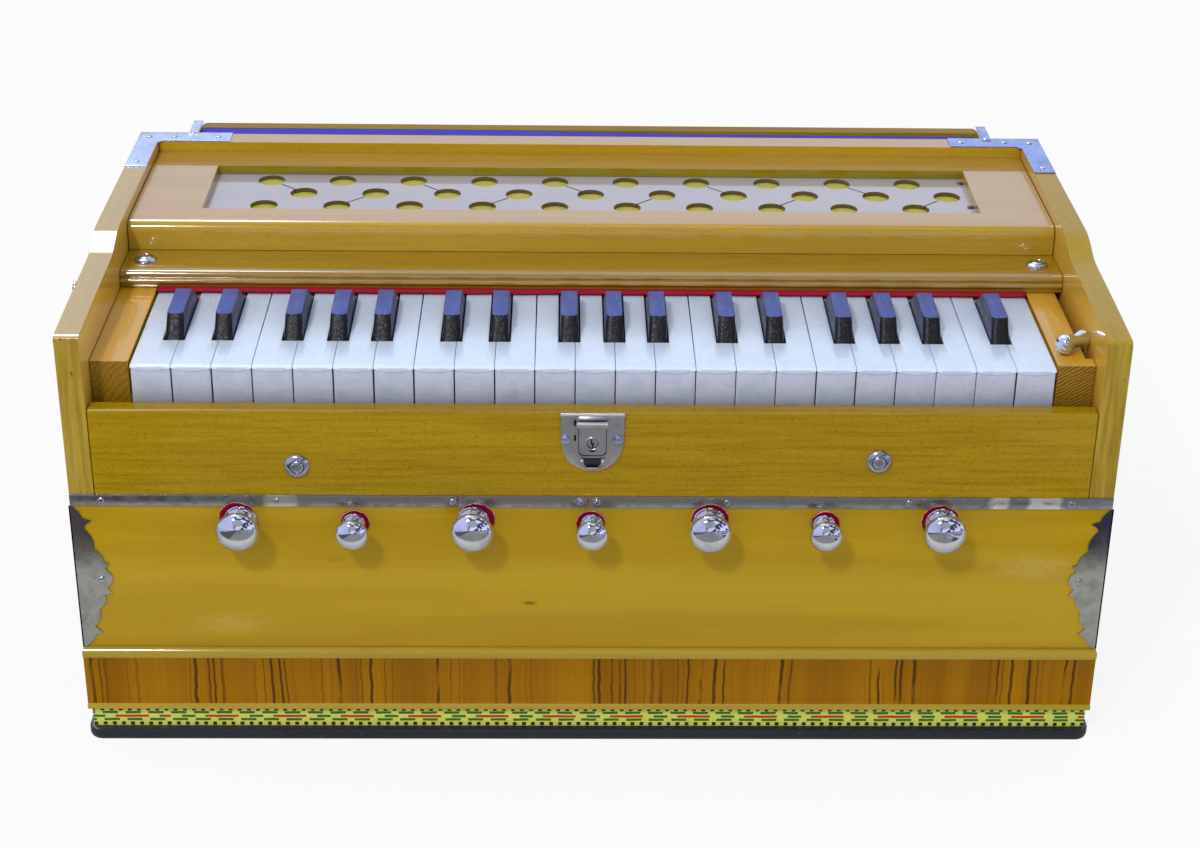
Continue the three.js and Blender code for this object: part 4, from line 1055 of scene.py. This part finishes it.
# %% Stop knobs and felt washers
rod_radius, rod_length, cap_stand_off, dome_share = 3.4, 58, 15.2, 0.56
waist_longer, hole = cap_stand_off - 14.2, rod_radius + 2.2
slack = {"main_stop_1": (-1.5, 0.2), "drone_stop_1": (0.5, -0.7), "main_stop_2": (1.8, 0),
         "drone_stop_2": (-0.7, -0.5), "main_stop_3": (0.6, 0.2), "drone_stop_3": (0.9, -0.4),
         "main_stop_4": (-0.5, -0.2)}
for node, (aside, raised) in slack.items():
    cap, collar, neck, felt_radius = (12, 9, 5.0, 10.5) if node.startswith("main") else (9.3, 6.3, 4.0, 8.1)
    low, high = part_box(node)
    x, z = (low.x + high.x) / 2 / mm, (low.z + high.z) / 2 / mm
    profile = [(0, -rod_length), (rod_radius - 0.5, -rod_length), (rod_radius, -rod_length + 0.5),
               (rod_radius, 1.6), (collar - 0.5, 1.6), (collar, 1.9), (collar, 2.5), (collar - 0.3, 2.9),
               (collar - 1.2, 3.1), (collar - 1.6, 3.5), (collar - 1.7, 4.4), (collar - 2.3, 4.8),
               (neck + 0.5, 5.4), (neck + 0.1, 6.4)]
    profile += [(radius, height + waist_longer) for radius, height in (
        (neck, 7.6), (neck + 0.15, 8.5), (neck + 0.7, 9.6), (neck + 1.9, 10.5), (cap - 2.0, 11.5),
        (cap - 0.8, 12.4), (cap - 0.2, 13.3))]
    profile += [(cap * math.cos(a), cap_stand_off + dome_share * cap * math.sin(a))
                for a in (math.pi / 2 * i / 14 for i in range(14))] + [(0, cap_stand_off + dome_share * cap)]
    knob = set_down(turned(profile, 48), spot(x, 0, z), to_player)
    piece(node.replace("stop", "knob"), knob, node, chrome, [node], smooth=30)
    washer = turned([(hole, 0.1), (felt_radius - 0.35, 0.1), (felt_radius, 0.35), (felt_radius - 0.1, 0.8),
                     (felt_radius - 0.5, 1.3), (hole + 0.3, 1.3), (hole, 1.1), (hole, 0.1)], 40)
    for face in washer.faces:
        where = face.calc_center_median()
        face.material_index = int(where.z < 0.7 * mm and where.xy.length > hole * 1.2 * mm)
    for vert in washer.verts:
        at_rim = vert.co.xy.length > felt_radius * 0.9 * mm
        ragged = 1 + noise.noise(vert.co * 700 + Vector((x, 0, 0))) * 0.05 * at_rim
        vert.co.x *= ragged
        vert.co.y *= ragged
    set_down(washer, spot(x + aside, 0, z + raised), to_player)
    for vert in washer.verts:
        lift = max(0, min(1, (vert.co.z / mm - strip_low + 1.6) / 1.6))
        vert.co.y = front - ((front - vert.co.y) * (1 - 0.5 * lift) + lift * 0.84 * mm)
    felt_washer = piece(node.replace("stop", "felt"), washer, "case", [shaded_washer_felt, pale_felt],
                        smooth=60)
    across = 2 * felt_radius * mm
    math.pi * (felt_radius ** 2 - hole ** 2) * mm * mm
print(len(slack), "stop knobs with felt")

# %% [markdown]
# ## Coupler lever
# A flat bar stands in the slot at the treble end and carries a turned knob like a small dumbbell. The bar
# and its pin are the CAD shape below the knob, and the knob is a finer turning about the same axis.

# %% Coupler lever
knob_angle = math.radians(34)
knob_axis = Vector((-math.cos(knob_angle), -math.sin(knob_angle), 0))
knob_centre = spot(273.25, 42.0, 240.2)
bm = sliced(skin("coupler_lever"), knob_centre - Vector((0, 0, 3.4 * mm)), (0, 0, 1))
eased(bm, [e for e in sharp_edges(bm, 60) if e.calc_length() > 2 * mm], 0.35, 2)
profile = [(0, -1.4), (2.8, -1.4), (4.0, -0.9), (4.6, 0.3), (4.7, 2.0), (4.5, 3.6), (4.0, 5.2), (3.7, 7.0),
           (3.6, 9.0), (3.8, 10.8), (4.4, 12.6), (5.1, 14.4), (5.3, 16.2), (4.9, 18.0), (3.8, 19.4),
           (2.0, 20.0), (0, 20.1)]
set_on(bm, turned(profile, 40), knob_centre, knob_axis)
piece("coupler", bm, "coupler_lever", chrome, ["coupler_lever"], smooth=40)

# %% [markdown]
# ## Screws
# A screw head is a flat dome with a cross or a slot in it. The slot is cut with saw lines: the top faces
# between them are extruded down. A cup washer under the head is another turning. Heads that repeat are
# kept light.

# %% Screws, cup washers and pins
def screw(radius, rise, cross=True, turn=0.0, cup=None, steps=16, slot=None):
    """A screw head that stands on z = 0, with its slot turned by an angle."""
    width = (slot or radius * 0.3) * mm
    under = 0.0 if cup is None else cup * 0.16
    slot_floor = under + rise * 0.45
    head = turned([(radius, under), (radius, slot_floor), (radius * 0.86, under + rise * 0.8),
                   (radius * 0.6, under + rise), (0, under + rise * 1.04)], steps)
    ways = ((1, 0), (0, 1)) if cross else ((0, 1),)
    for x, y in ways:
        for side in (-1, 1):
            scored(head, (x * side * width / 2, y * side * width / 2, 0), (x, y, 0))
    head.normal_update()
    reach = radius * (0.62 if cross else 1.1) * mm

    def in_slot(face):
        where = face.calc_center_median()
        return face.normal.z > 0.5 and where.xy.length < reach and any(
            abs(where.x * x + where.y * y) < width / 2 for x, y in ways)

    cut = [f for f in head.faces if in_slot(f)]
    assert cut, "the slot is missing"
    sunk = of_kind(bmesh.ops.extrude_face_region(head, geom=cut)["geom"], bmesh.types.BMVert)
    for vert in sunk:
        vert.co.z = slot_floor * mm
    # The slot's floor and walls get painted shade.
    for face in {f for vert in sunk for f in vert.link_faces}:
        face.material_index = 1
    if cup is not None:
        joined(head, turned([
            (radius * 0.9, 0.02), (cup, 0.02), (cup, cup * 0.07), (cup * 0.93, cup * 0.16),
            (cup * 0.78, cup * 0.27), (radius * 1.12, cup * 0.31), (radius * 0.98, cup * 0.2),
            (radius * 0.9, 0.02)], 28))
    bmesh.ops.rotate(head, cent=(0, 0, 0), matrix=Matrix.Rotation(turn, 3, "Z"), verts=head.verts)
    return head


strip_middle = 157.4
strip_pins = (-271.6, -175, -78.1, -7.3, 1.6, 73.7, 175, 265.6)
screws = {
    "slip_screws": [((x, 0, z), to_player, 3.7, 1.5, True, turn, 7.0, 24)
                    for x, z, turn in ((-163, 179.2, 0.5), (156.5, 183.2, 0.2))],
    "batten_screws": [((x, 132, 244), upwards, 3.9, 1.5, True, turn, 6.7, 24)
                      for x, turn in ((-263, 0.7), (263, 0.3))],
    "corner_screws": [((x, -tinplate, 106.5), to_player, 2.1, 0.9, True, turn, None, 24)
                      for x, turn in ((-275.3, 0.4), (275.3, 1.0))],
    "strip_pins": [((x, -tinplate, strip_middle), to_player, 1.9, 0.7, True, 0.6 * i, None, 14)
                   for i, x in enumerate(strip_pins)],
    "grille_screws": [((x, y, 256), upwards, 2.2, 0.7, False, 0.5, None, 16)
                      for x, y in ((232.0, 231.8), (232.2, 192.3))],
}
for name, places in screws.items():
    bm = bmesh.new()
    for place, facing, radius, rise, cross, turn, cup, steps in places:
        set_on(bm, screw(radius, rise, cross, turn, cup, steps), spot(*place), facing)
    metal = dark_screw if name == "grille_screws" else screw_metal
    piece(name, bm, "case", [metal, slot_dark], smooth=30)

# %% [markdown]
# ## Joint strip and corner plates
# Plated tinplate covers the joint over the panel, and a fretted plate wraps each front corner. The fret
# is drawn once as a chain of scallops between pointed tips, in shares of the plate's width and height. It
# is filled once for each face of the corner, given its thickness by an extrusion, and a narrow block is
# the fold between the two.

# %% Joint strip
bm = bmesh.new()
for x0, x1 in ((-case_half, -75.6), (-75.1, -3.3), (-2.5, case_half)):
    verts = block(bm, spot(x0, -tinplate, strip_low), spot(x1, 0.05, strip_high))
    eased(bm, list({e for v in verts for e in v.link_edges if all(w.co.y < front for w in e.verts)}), 0.3, 2)
for x in strip_pins[3:5]:
    set_on(bm, turned([(0, 0), (3.2, 0), (3.2, 0.1), (2.8, 0.35), (0, 0.35)], 16),
           spot(x, 0.05 - tinplate, strip_middle), to_player)
piece("joint_strip", bm, "case", strip_metal, smooth=30)

# %% Corner plates
corner_wide, corner_low, corner_high = 21.2, 61.8, 153.8
tips = [(0.04, 0), (0.337, 0.087), (0.53, 0.104), (0.337, 0.147), (0.511, 0.272), (0.68, 0.373), (0.89, 0.39),
        (0.78, 0.431), (0.76, 0.561), (0.884, 0.595), (0.735, 0.613), (0.513, 0.7), (0.312, 0.844),
        (0.505, 0.896), (0.284, 0.916), (0.03, 1)]
sags = [-0.05, 0.02, 0, -0.08, -0.08, 0.02, 0.01, -0.17, 0.02, 0, -0.07, -0.09, 0.06, 0, -0.05]


def fret(tips, sags):
    """Points along a chain of arcs between tips. A positive sag bites into the plate."""
    points = [tips[0]]
    for (x0, z0), (x1, z1), sag in zip(tips, tips[1:], sags):
        for share in (i / 6 for i in range(1, 7)):
            bow = sag * math.sin(math.pi * share)
            points.append((x0 + (x1 - x0) * share - bow, z0 + (z1 - z0) * share))
    return points


bm = bmesh.new()
outline = [(out * corner_wide, corner_low + up * (corner_high - corner_low))
           for out, up in [(0, 0)] + fret(tips, sags) + [(0, 1)]]
fold_edge = case_half + tinplate
for side in (-1, 1):
    for points, deep in (
            ([spot(side * (case_half - out), -tinplate, z) for out, z in outline], (0, tinplate * mm, 0)),
            ([spot(side * fold_edge, out - tinplate, z) for out, z in outline],
             (-side * tinplate * mm, 0, 0))):
        pushed(bm, filled(bm, loop(bm, points), -Vector(deep)), Vector(deep))
    ends = sorted((side * case_half, side * fold_edge))
    block(bm, spot(ends[0], -tinplate, corner_low), spot(ends[1], 0, corner_high))
bmesh.ops.recalc_face_normals(bm, faces=bm.faces)
piece("corner_plates", bm, "case", corner_metal, smooth=30)

# %% [markdown]
# ## Rear brackets, catches and the side stud
# A flat bracket holds each rear corner, and a strip on each side keeps the bellows board shut. They are
# drawn as outlines like the corner plates, with rivets set on them.

# %% Rear fittings
rail_mm = rail_top / mm
bracket = [(230, 280), (289, 280), (289, 220), (275.4, 220), (275.4, 262), (272, 265), (230, 265)]
rivets = ((282, 272), (282.5, 228), (266, 272.5), (238, 272.5))
catch_x, catch_half, catch_thick = 255, 3, 1.2
bm = bmesh.new()
for side in (-1, 1):
    drawn = loop(bm, [spot(side * x, y, rail_mm - 0.05) for x, y in bracket])
    pushed(bm, filled(bm, drawn, upwards), (0, 0, 0.85 * mm))
    block(bm, spot(side * catch_x - catch_half, 275, rail_mm),
          spot(side * catch_x + catch_half, 301, rail_mm + catch_thick))
bmesh.ops.recalc_face_normals(bm, faces=bm.faces)
flattened(bm)
eased(bm, [e for e in sharp_edges(bm, 60) if e.calc_length() > 1.5 * mm], 0.3, 2)
# The left bracket takes the painted reflection copy and the right one the darker painted shade copy.
for face in bm.faces:
    face.material_index = int(face.calc_center_median().x > 0)
piece("rear_brackets", bm, "case", [lit_blue_sheen_metal, shaded_blue_sheen_metal], smooth=30)

bm = bmesh.new()
for side in (-1, 1):
    for i, (x, y) in enumerate(rivets):
        set_on(bm, screw(2.0, 0.6, False, 0.9 * i, None, 14), spot(side * x, y, rail_mm + tinplate), upwards)
    set_on(bm, screw(1.8, 0.5, False, 0.4, None, 14), spot(side * catch_x, 278, rail_mm + catch_thick),
           upwards)
set_on(bm, turned([(0, 0), (3.6, 0), (3.6, 0.5), (2.6, 1.3), (1.2, 1.9), (0, 2.0)], 20),
       spot(-case_half, 64, 256.5), (-1, 0, 0))
piece("bracket_rivets", bm, "case", [screw_metal, slot_dark], smooth=30)

# %% [markdown]
# ## Trunk lock
# The lock is a stamped plate with a bead along its top, two slots, a slotted screw at each side, and a
# hinged flap with a raised rim and a keyhole. The outlines are drawn and filled, holes left open, and
# dark backings, painted shade, show through them. The ears on the plate hold the ends of the flap's barrel.

# %% Lock plate
lock_x, lock_top, lock_foot, half_lock, lock_face = -1.4, 212.9, 177.5, 17.4, -1.2


def stamped(bm, loops, y_face, thick, finish=0):
    """A flat stamping: closed outlines in X and Z, holes open, its face at a depth, its thickness behind."""
    edges = [e for points in loops for e in loop(bm, [spot(x, y_face, z) for x, z in points])]
    faces = filled(bm, edges, to_player)
    for face in faces + of_kind(pushed(bm, faces, (0, thick * mm, 0)), bmesh.types.BMFace):
        face.material_index = finish


def box_of(x0, x1, z0, z1):
    """A rectangle's corners, x from the lock's middle."""
    return [(lock_x + x0, z0), (lock_x + x1, z0), (lock_x + x1, z1), (lock_x + x0, z1)]


def bent(start, control, end, steps):
    """Points on a curve that leaves start towards control and arrives at end from it."""
    return [tuple(a * (1 - t) ** 2 + 2 * b * t * (1 - t) + c * t * t for a, b, c in zip(start, control, end))
            for t in (i / steps for i in range(1, steps + 1))]


def dowel(radius, half, ease, steps, end_ease=None):
    """A round bar about Z with chamfered ends."""
    end = half - (ease if end_ease is None else end_ease)
    return turned([(0, -half), (radius - ease, -half), (radius, -end), (radius, end), (radius - ease, half),
                   (0, half)], steps)


edge_points = [(lock_x - half_lock, lock_top - 0.4), (lock_x - half_lock, lock_foot + 19.5)]
edge_points += bent(edge_points[-1], (lock_x - 16.2, lock_foot + 4.4), (lock_x - 6, lock_foot + 1.2), 8)
edge_points += bent(edge_points[-1], (lock_x - 4, lock_foot), (lock_x - 3.2, lock_foot), 3)
plate_outline = edge_points + [(2 * lock_x - x, z) for x, z in reversed(edge_points)]
slots = [box_of(-10, -9, lock_top - low, lock_top - high) for low, high in ((7.7, 4), (17, 13.2))]
mouth_top, mouth_foot = lock_foot + 7.7, lock_foot + 1.7
mouth = [(lock_x - 5.2, mouth_top), (lock_x + 5.2, mouth_top)]
mouth += bent(mouth[-1], (lock_x + 4.6, mouth_foot), (lock_x, mouth_foot), 5)
mouth += bent(mouth[-1], (lock_x - 4.6, mouth_foot), (lock_x - 5.2, mouth_top), 5)[:-1]
bm = bmesh.new()
stamped(bm, [plate_outline, *slots, mouth], lock_face, 1.1)
eased(bm, [e for e in sharp_edges(bm, 60) if all(v.co.y < spot(0, -1.1, 0).y for v in e.verts)], 0.3, 2)
# Dark backings behind the slots and the mouth are painted shade.
for backing in (box_of(-11, -8, lock_top - 18, lock_top - 3), box_of(-6, 6, lock_foot + 1, lock_foot + 8.4)):
    stamped(bm, [backing], -0.25, 0.2, 1)
bmesh.ops.recalc_face_normals(bm, faces=bm.faces)
set_on(bm, dowel(1.15, 7.6, 0.45, 18, 0.8), spot(lock_x - 0.4, -2.2, lock_top - 2.3), to_right)
set_on(bm, dowel(1.35, 17.8, 0.45, 20, 0.5), spot(lock_x, -0.9, lock_top - 1.2), to_right)
lip_half = 4.4
lip = set_down(dowel(0.9, lip_half, 0.4, 14), spot(lock_x, -1.3, lock_foot + 1), to_right)
for vert in lip.verts:
    vert.co.z += ((vert.co.x - lock_x * mm) / (lip_half * mm)) ** 2 * mm
joined(bm, lip)
pin_y, pin_z, ear_x = -3.4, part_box("lock_flap")[0].z / mm + 1.9, 5.7
for side in (-1, 1):
    ear = lock_x + side * ear_x
    set_on(bm, dowel(2.2, 0.95, 0.3, 18), spot(ear, pin_y, pin_z), to_right)
    block(bm, spot(ear - 0.8, pin_y, pin_z - 1.9), spot(ear + 0.8, -1.1, pin_z + 1.9))
    head = screw(2.5, 1.7, False, 0.2 * side - 0.4, None, 20, 0.9)
    # Lock screw heads take the bluish copy, a painted reflection, to stand apart from the plate.
    for face in head.faces:
        face.material_index = 1 if face.material_index else 2
    set_on(bm, head, spot(-1.65 + side * 14.45, lock_face, lock_top - 15.6), to_player)
piece("lock_plate", bm, "case", [plate_metal, slot_dark, lit_blue_sheen_metal], smooth=30)

# %% Lock flap
flap_half, flap_high, flap_foot, flap_y, flap_thick = 8.7, lock_top - 3.8, pin_z + 2.6, -3.0, 1.4
flap_left, flap_right, flap_middle = lock_x - flap_half, lock_x + flap_half, (flap_high + flap_foot) / 2
flap_outline = [(flap_left, flap_high), (flap_right, flap_high), (flap_right, flap_foot + 4.4)]
flap_outline += bent(flap_outline[-1], (flap_right, flap_foot), (flap_right - 3.6, flap_foot), 5)
flap_outline += [(flap_left + 3.6, flap_foot)]
flap_outline += bent(flap_outline[-1], (flap_left, flap_foot), (flap_left, flap_foot + 4.4), 5)
key_z = lock_top - 17.4
keyhole = [(x + lock_x, z) for x, z in arc(0, key_z, 3.3, math.radians(-50), math.radians(230), 18)]
keyhole += [(lock_x + x, key_z - z) for x, z in ((-1.7, 4.6), (-0.8, 5.3), (0.8, 5.3), (1.7, 4.6))]


def shrunk(share_x, share_z):
    return [(lock_x + (x - lock_x) * share_x, flap_middle + (z - flap_middle) * share_z)
            for x, z in flap_outline]


bm = bmesh.new()
stamped(bm, [flap_outline, keyhole], flap_y, flap_thick)
stamped(bm, [flap_outline, shrunk(0.89, 0.92)], flap_y - 0.7, 0.75)
# A thin dark ring between the rim and the field is a painted shadow line.
stamped(bm, [shrunk(0.9, 0.93), shrunk(0.845, 0.88)], flap_y - 0.04, 0.06, 1)
# A dark backing behind the keyhole is painted shade.
stamped(bm, [box_of(-4.6, 4.6, key_z - 6, key_z + 5)], flap_y + 1.1, 0.3, 1)
bmesh.ops.recalc_face_normals(bm, faces=bm.faces)
rim_front = spot(0, flap_y - 0.7, 0).y
eased(bm, [e for e in sharp_edges(bm, 60) if all(v.co.y < rim_front for v in e.verts)], 0.3, 3)
key_ring = [(3.2, -0.2), (4.1, -0.2), (4.1, 0.35), (3.85, 0.6), (3.45, 0.6), (3.2, 0.35), (3.2, -0.2)]
set_on(bm, turned(key_ring, 28), spot(lock_x, flap_y, key_z), to_player)
key_plug = [(0, -0.2), (2.9, -0.2), (2.9, 0.2), (2.6, 0.45), (0, 0.6)]
set_on(bm, turned(key_plug, 24), spot(lock_x, flap_y + 0.5, key_z), to_player)
# The keyhole's slit is painted shade.
for x0, z0, x1, z1 in ((-1.1, 2.5, -0.2, -0.2), (-0.6, 0.5, 0.9, -1.0), (-0.3, -0.6, 0.8, -3.2)):
    key_slit = block(bm, spot(lock_x + x0, flap_y - 0.2, key_z + z1),
                     spot(lock_x + x1, flap_y + 0.5, key_z + z0))
    for face in {f for v in key_slit for f in v.link_faces}:
        face.material_index = 1
set_on(bm, dowel(1.9, 8.7, 0.4, 24, 0.5), spot(lock_x, flap_y - 0.1, flap_high - 2.1), to_right)
barrel_half = 4.6
block(bm, spot(lock_x - barrel_half, flap_y, pin_z),
      spot(lock_x + barrel_half, flap_y + flap_thick, flap_foot + 0.2))
barrel = turned([(0, -barrel_half), (1.8, -barrel_half), (1.8, barrel_half), (0, barrel_half)], 18)
# The barrel is painted dark as shade.
for face in barrel.faces:
    face.material_index = 1
set_on(bm, barrel, spot(lock_x, pin_y, pin_z), to_right)
piece("lock_flap_plate", bm, "lock_flap", [plate_metal, slot_dark], ["lock_flap"], smooth=30)

# %% [markdown]
# ## Felt strip
# A strip of red felt lies under the batten over the keys' rear ends and stops their clatter. Its front
# edge is folded under, which makes the soft roll that shows. One line of edges, drawn as the strip's cross
# section and extruded along the keys, keeps the fold; Solidify gives the cloth its thickness.

# %% Felt strip
def drawn_on(bm, edges, way):
    """Extrudes edges along a vector. Returns the fresh vertices and the fresh edges between them."""
    grown = bmesh.ops.extrude_edge_only(bm, edges=edges)["geom"]
    fresh = set(of_kind(grown, bmesh.types.BMVert))
    bmesh.ops.translate(bm, vec=way, verts=list(fresh))
    return fresh, [e for e in {e for v in fresh for e in v.link_edges} if set(e.verts) <= fresh]


def thickened(made, thickness, offset):
    cloth = made.modifiers.new("thickness", "SOLIDIFY")
    cloth.thickness, cloth.offset = thickness, offset


felt_wide, felt_thick, felt_steps = 506 * mm, 0.9 * mm, 160
section = [(125, 233.45), (118, 233.45), (115.6, 233.9), (113.6, 234.75), (111.4, 234.85), (109.9, 234.55),
           (109.45, 234.1), (109.9, 233.55), (111.4, 233.35), (113.4, 233.3)]
flat_deep = sum(math.dist(a, b) for a, b in zip(section, section[1:])) * mm
bm = bmesh.new()
verts = [bm.verts.new(spot(-felt_wide / 2 / mm, y, z)) for y, z in section]
line = [bm.edges.new(pair) for pair in zip(verts, verts[1:])]
for i in range(felt_steps):
    fresh, line = drawn_on(bm, line, (felt_wide / felt_steps, 0, 0))
for vert in bm.verts:
    loose = max(0, min(1, (front + 118 * mm - vert.co.y) / (6 * mm))) * 0.5 * mm
    vert.co.y += noise.noise(Vector((vert.co.x * 60, 3, 0))) * loose
    vert.co.z += abs(noise.noise(Vector((vert.co.x * 45, vert.co.y * 20, 7)))) * loose
bmesh.ops.recalc_face_normals(bm, faces=bm.faces)
felt_strip = piece("felt_strip", bm, "case", red_felt, smooth=70)
thickened(felt_strip, felt_thick, 0)
print("felt strip", round(felt_wide / mm), "x", round(flat_deep / mm, 1), "mm flat")

# %% [markdown]
# ## Bellows
# Cloth folds join the case to the hinged board, which is pulled open and pushed shut. The folds are one
# sleeve: a rectangle of edges extruded ring by ring, drawn in and let out again along a cosine, pleat by
# pleat. Along the top the cloth bulges, more at the bass end than at the treble end.

# %% Bellows cloth
fold_low, fold_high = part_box("bellows_folds")
fold_high.z += 2.2 * mm
pleats, inset, bends = 3, 7 * mm, 4
middle = (fold_low + fold_high) / 2
half = (fold_high - fold_low) / 2
corners = [(fold_low.x, fold_low.z), (fold_high.x, fold_low.z), (fold_high.x, fold_high.z),
           (fold_low.x, fold_high.z)]
outline = []
for (x0, z0), (x1, z1) in zip(corners, corners[1:] + corners[:1]):
    count = round(math.hypot(x1 - x0, z1 - z0) / (12 * mm))
    outline += [(x0 + (x1 - x0) * i / count, z0 + (z1 - z0) * i / count) for i in range(count)]
bm = bmesh.new()
ring = loop(bm, [Vector((x, fold_low.y, z)) for x, z in outline])
rings = 2 * pleats * bends
deeper = (fold_high.y - fold_low.y) / rings
drawn_in, unfolded = 0.0, 0.0
for i in range(1, rings + 1):
    fresh, ring = drawn_on(bm, ring, (0, deeper, 0))
    draws_next = inset * (0.5 - 0.5 * math.cos(math.pi * i / bends))
    for vert in fresh:
        vert.co.x = middle.x + (vert.co.x - middle.x) * ((half.x - draws_next) / (half.x - drawn_in))
        vert.co.z = middle.z + (vert.co.z - middle.z) * ((half.z - draws_next) / (half.z - drawn_in))
    unfolded += math.hypot(draws_next - drawn_in, deeper)
    drawn_in = draws_next
for vert in bm.verts:
    high_up = max(0, (vert.co.z - middle.z) / half.z) ** 4
    vert.co.z += high_up * (1.4 - 3.2 * math.atan(vert.co.x / (60 * mm)) / math.pi - 0.8) * mm
bmesh.ops.recalc_face_normals(bm, faces=bm.faces)
folds = placed("bellows_folds_cloth", bm, bellows_cloth)
thickened(folds, 0.6 * mm, -1)
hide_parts("bellows_folds")
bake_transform(folds)

# %% Bellows board
rounded(piece("bellows_cover", skin("bellows_board"), "bellows_board", board_wood,
              ["bellows_board"]), 1.0)

# %% [markdown]
# ## The view transform
# Colours are shown as they are, with the Standard view transform.

scene.view_settings.view_transform = "Standard"
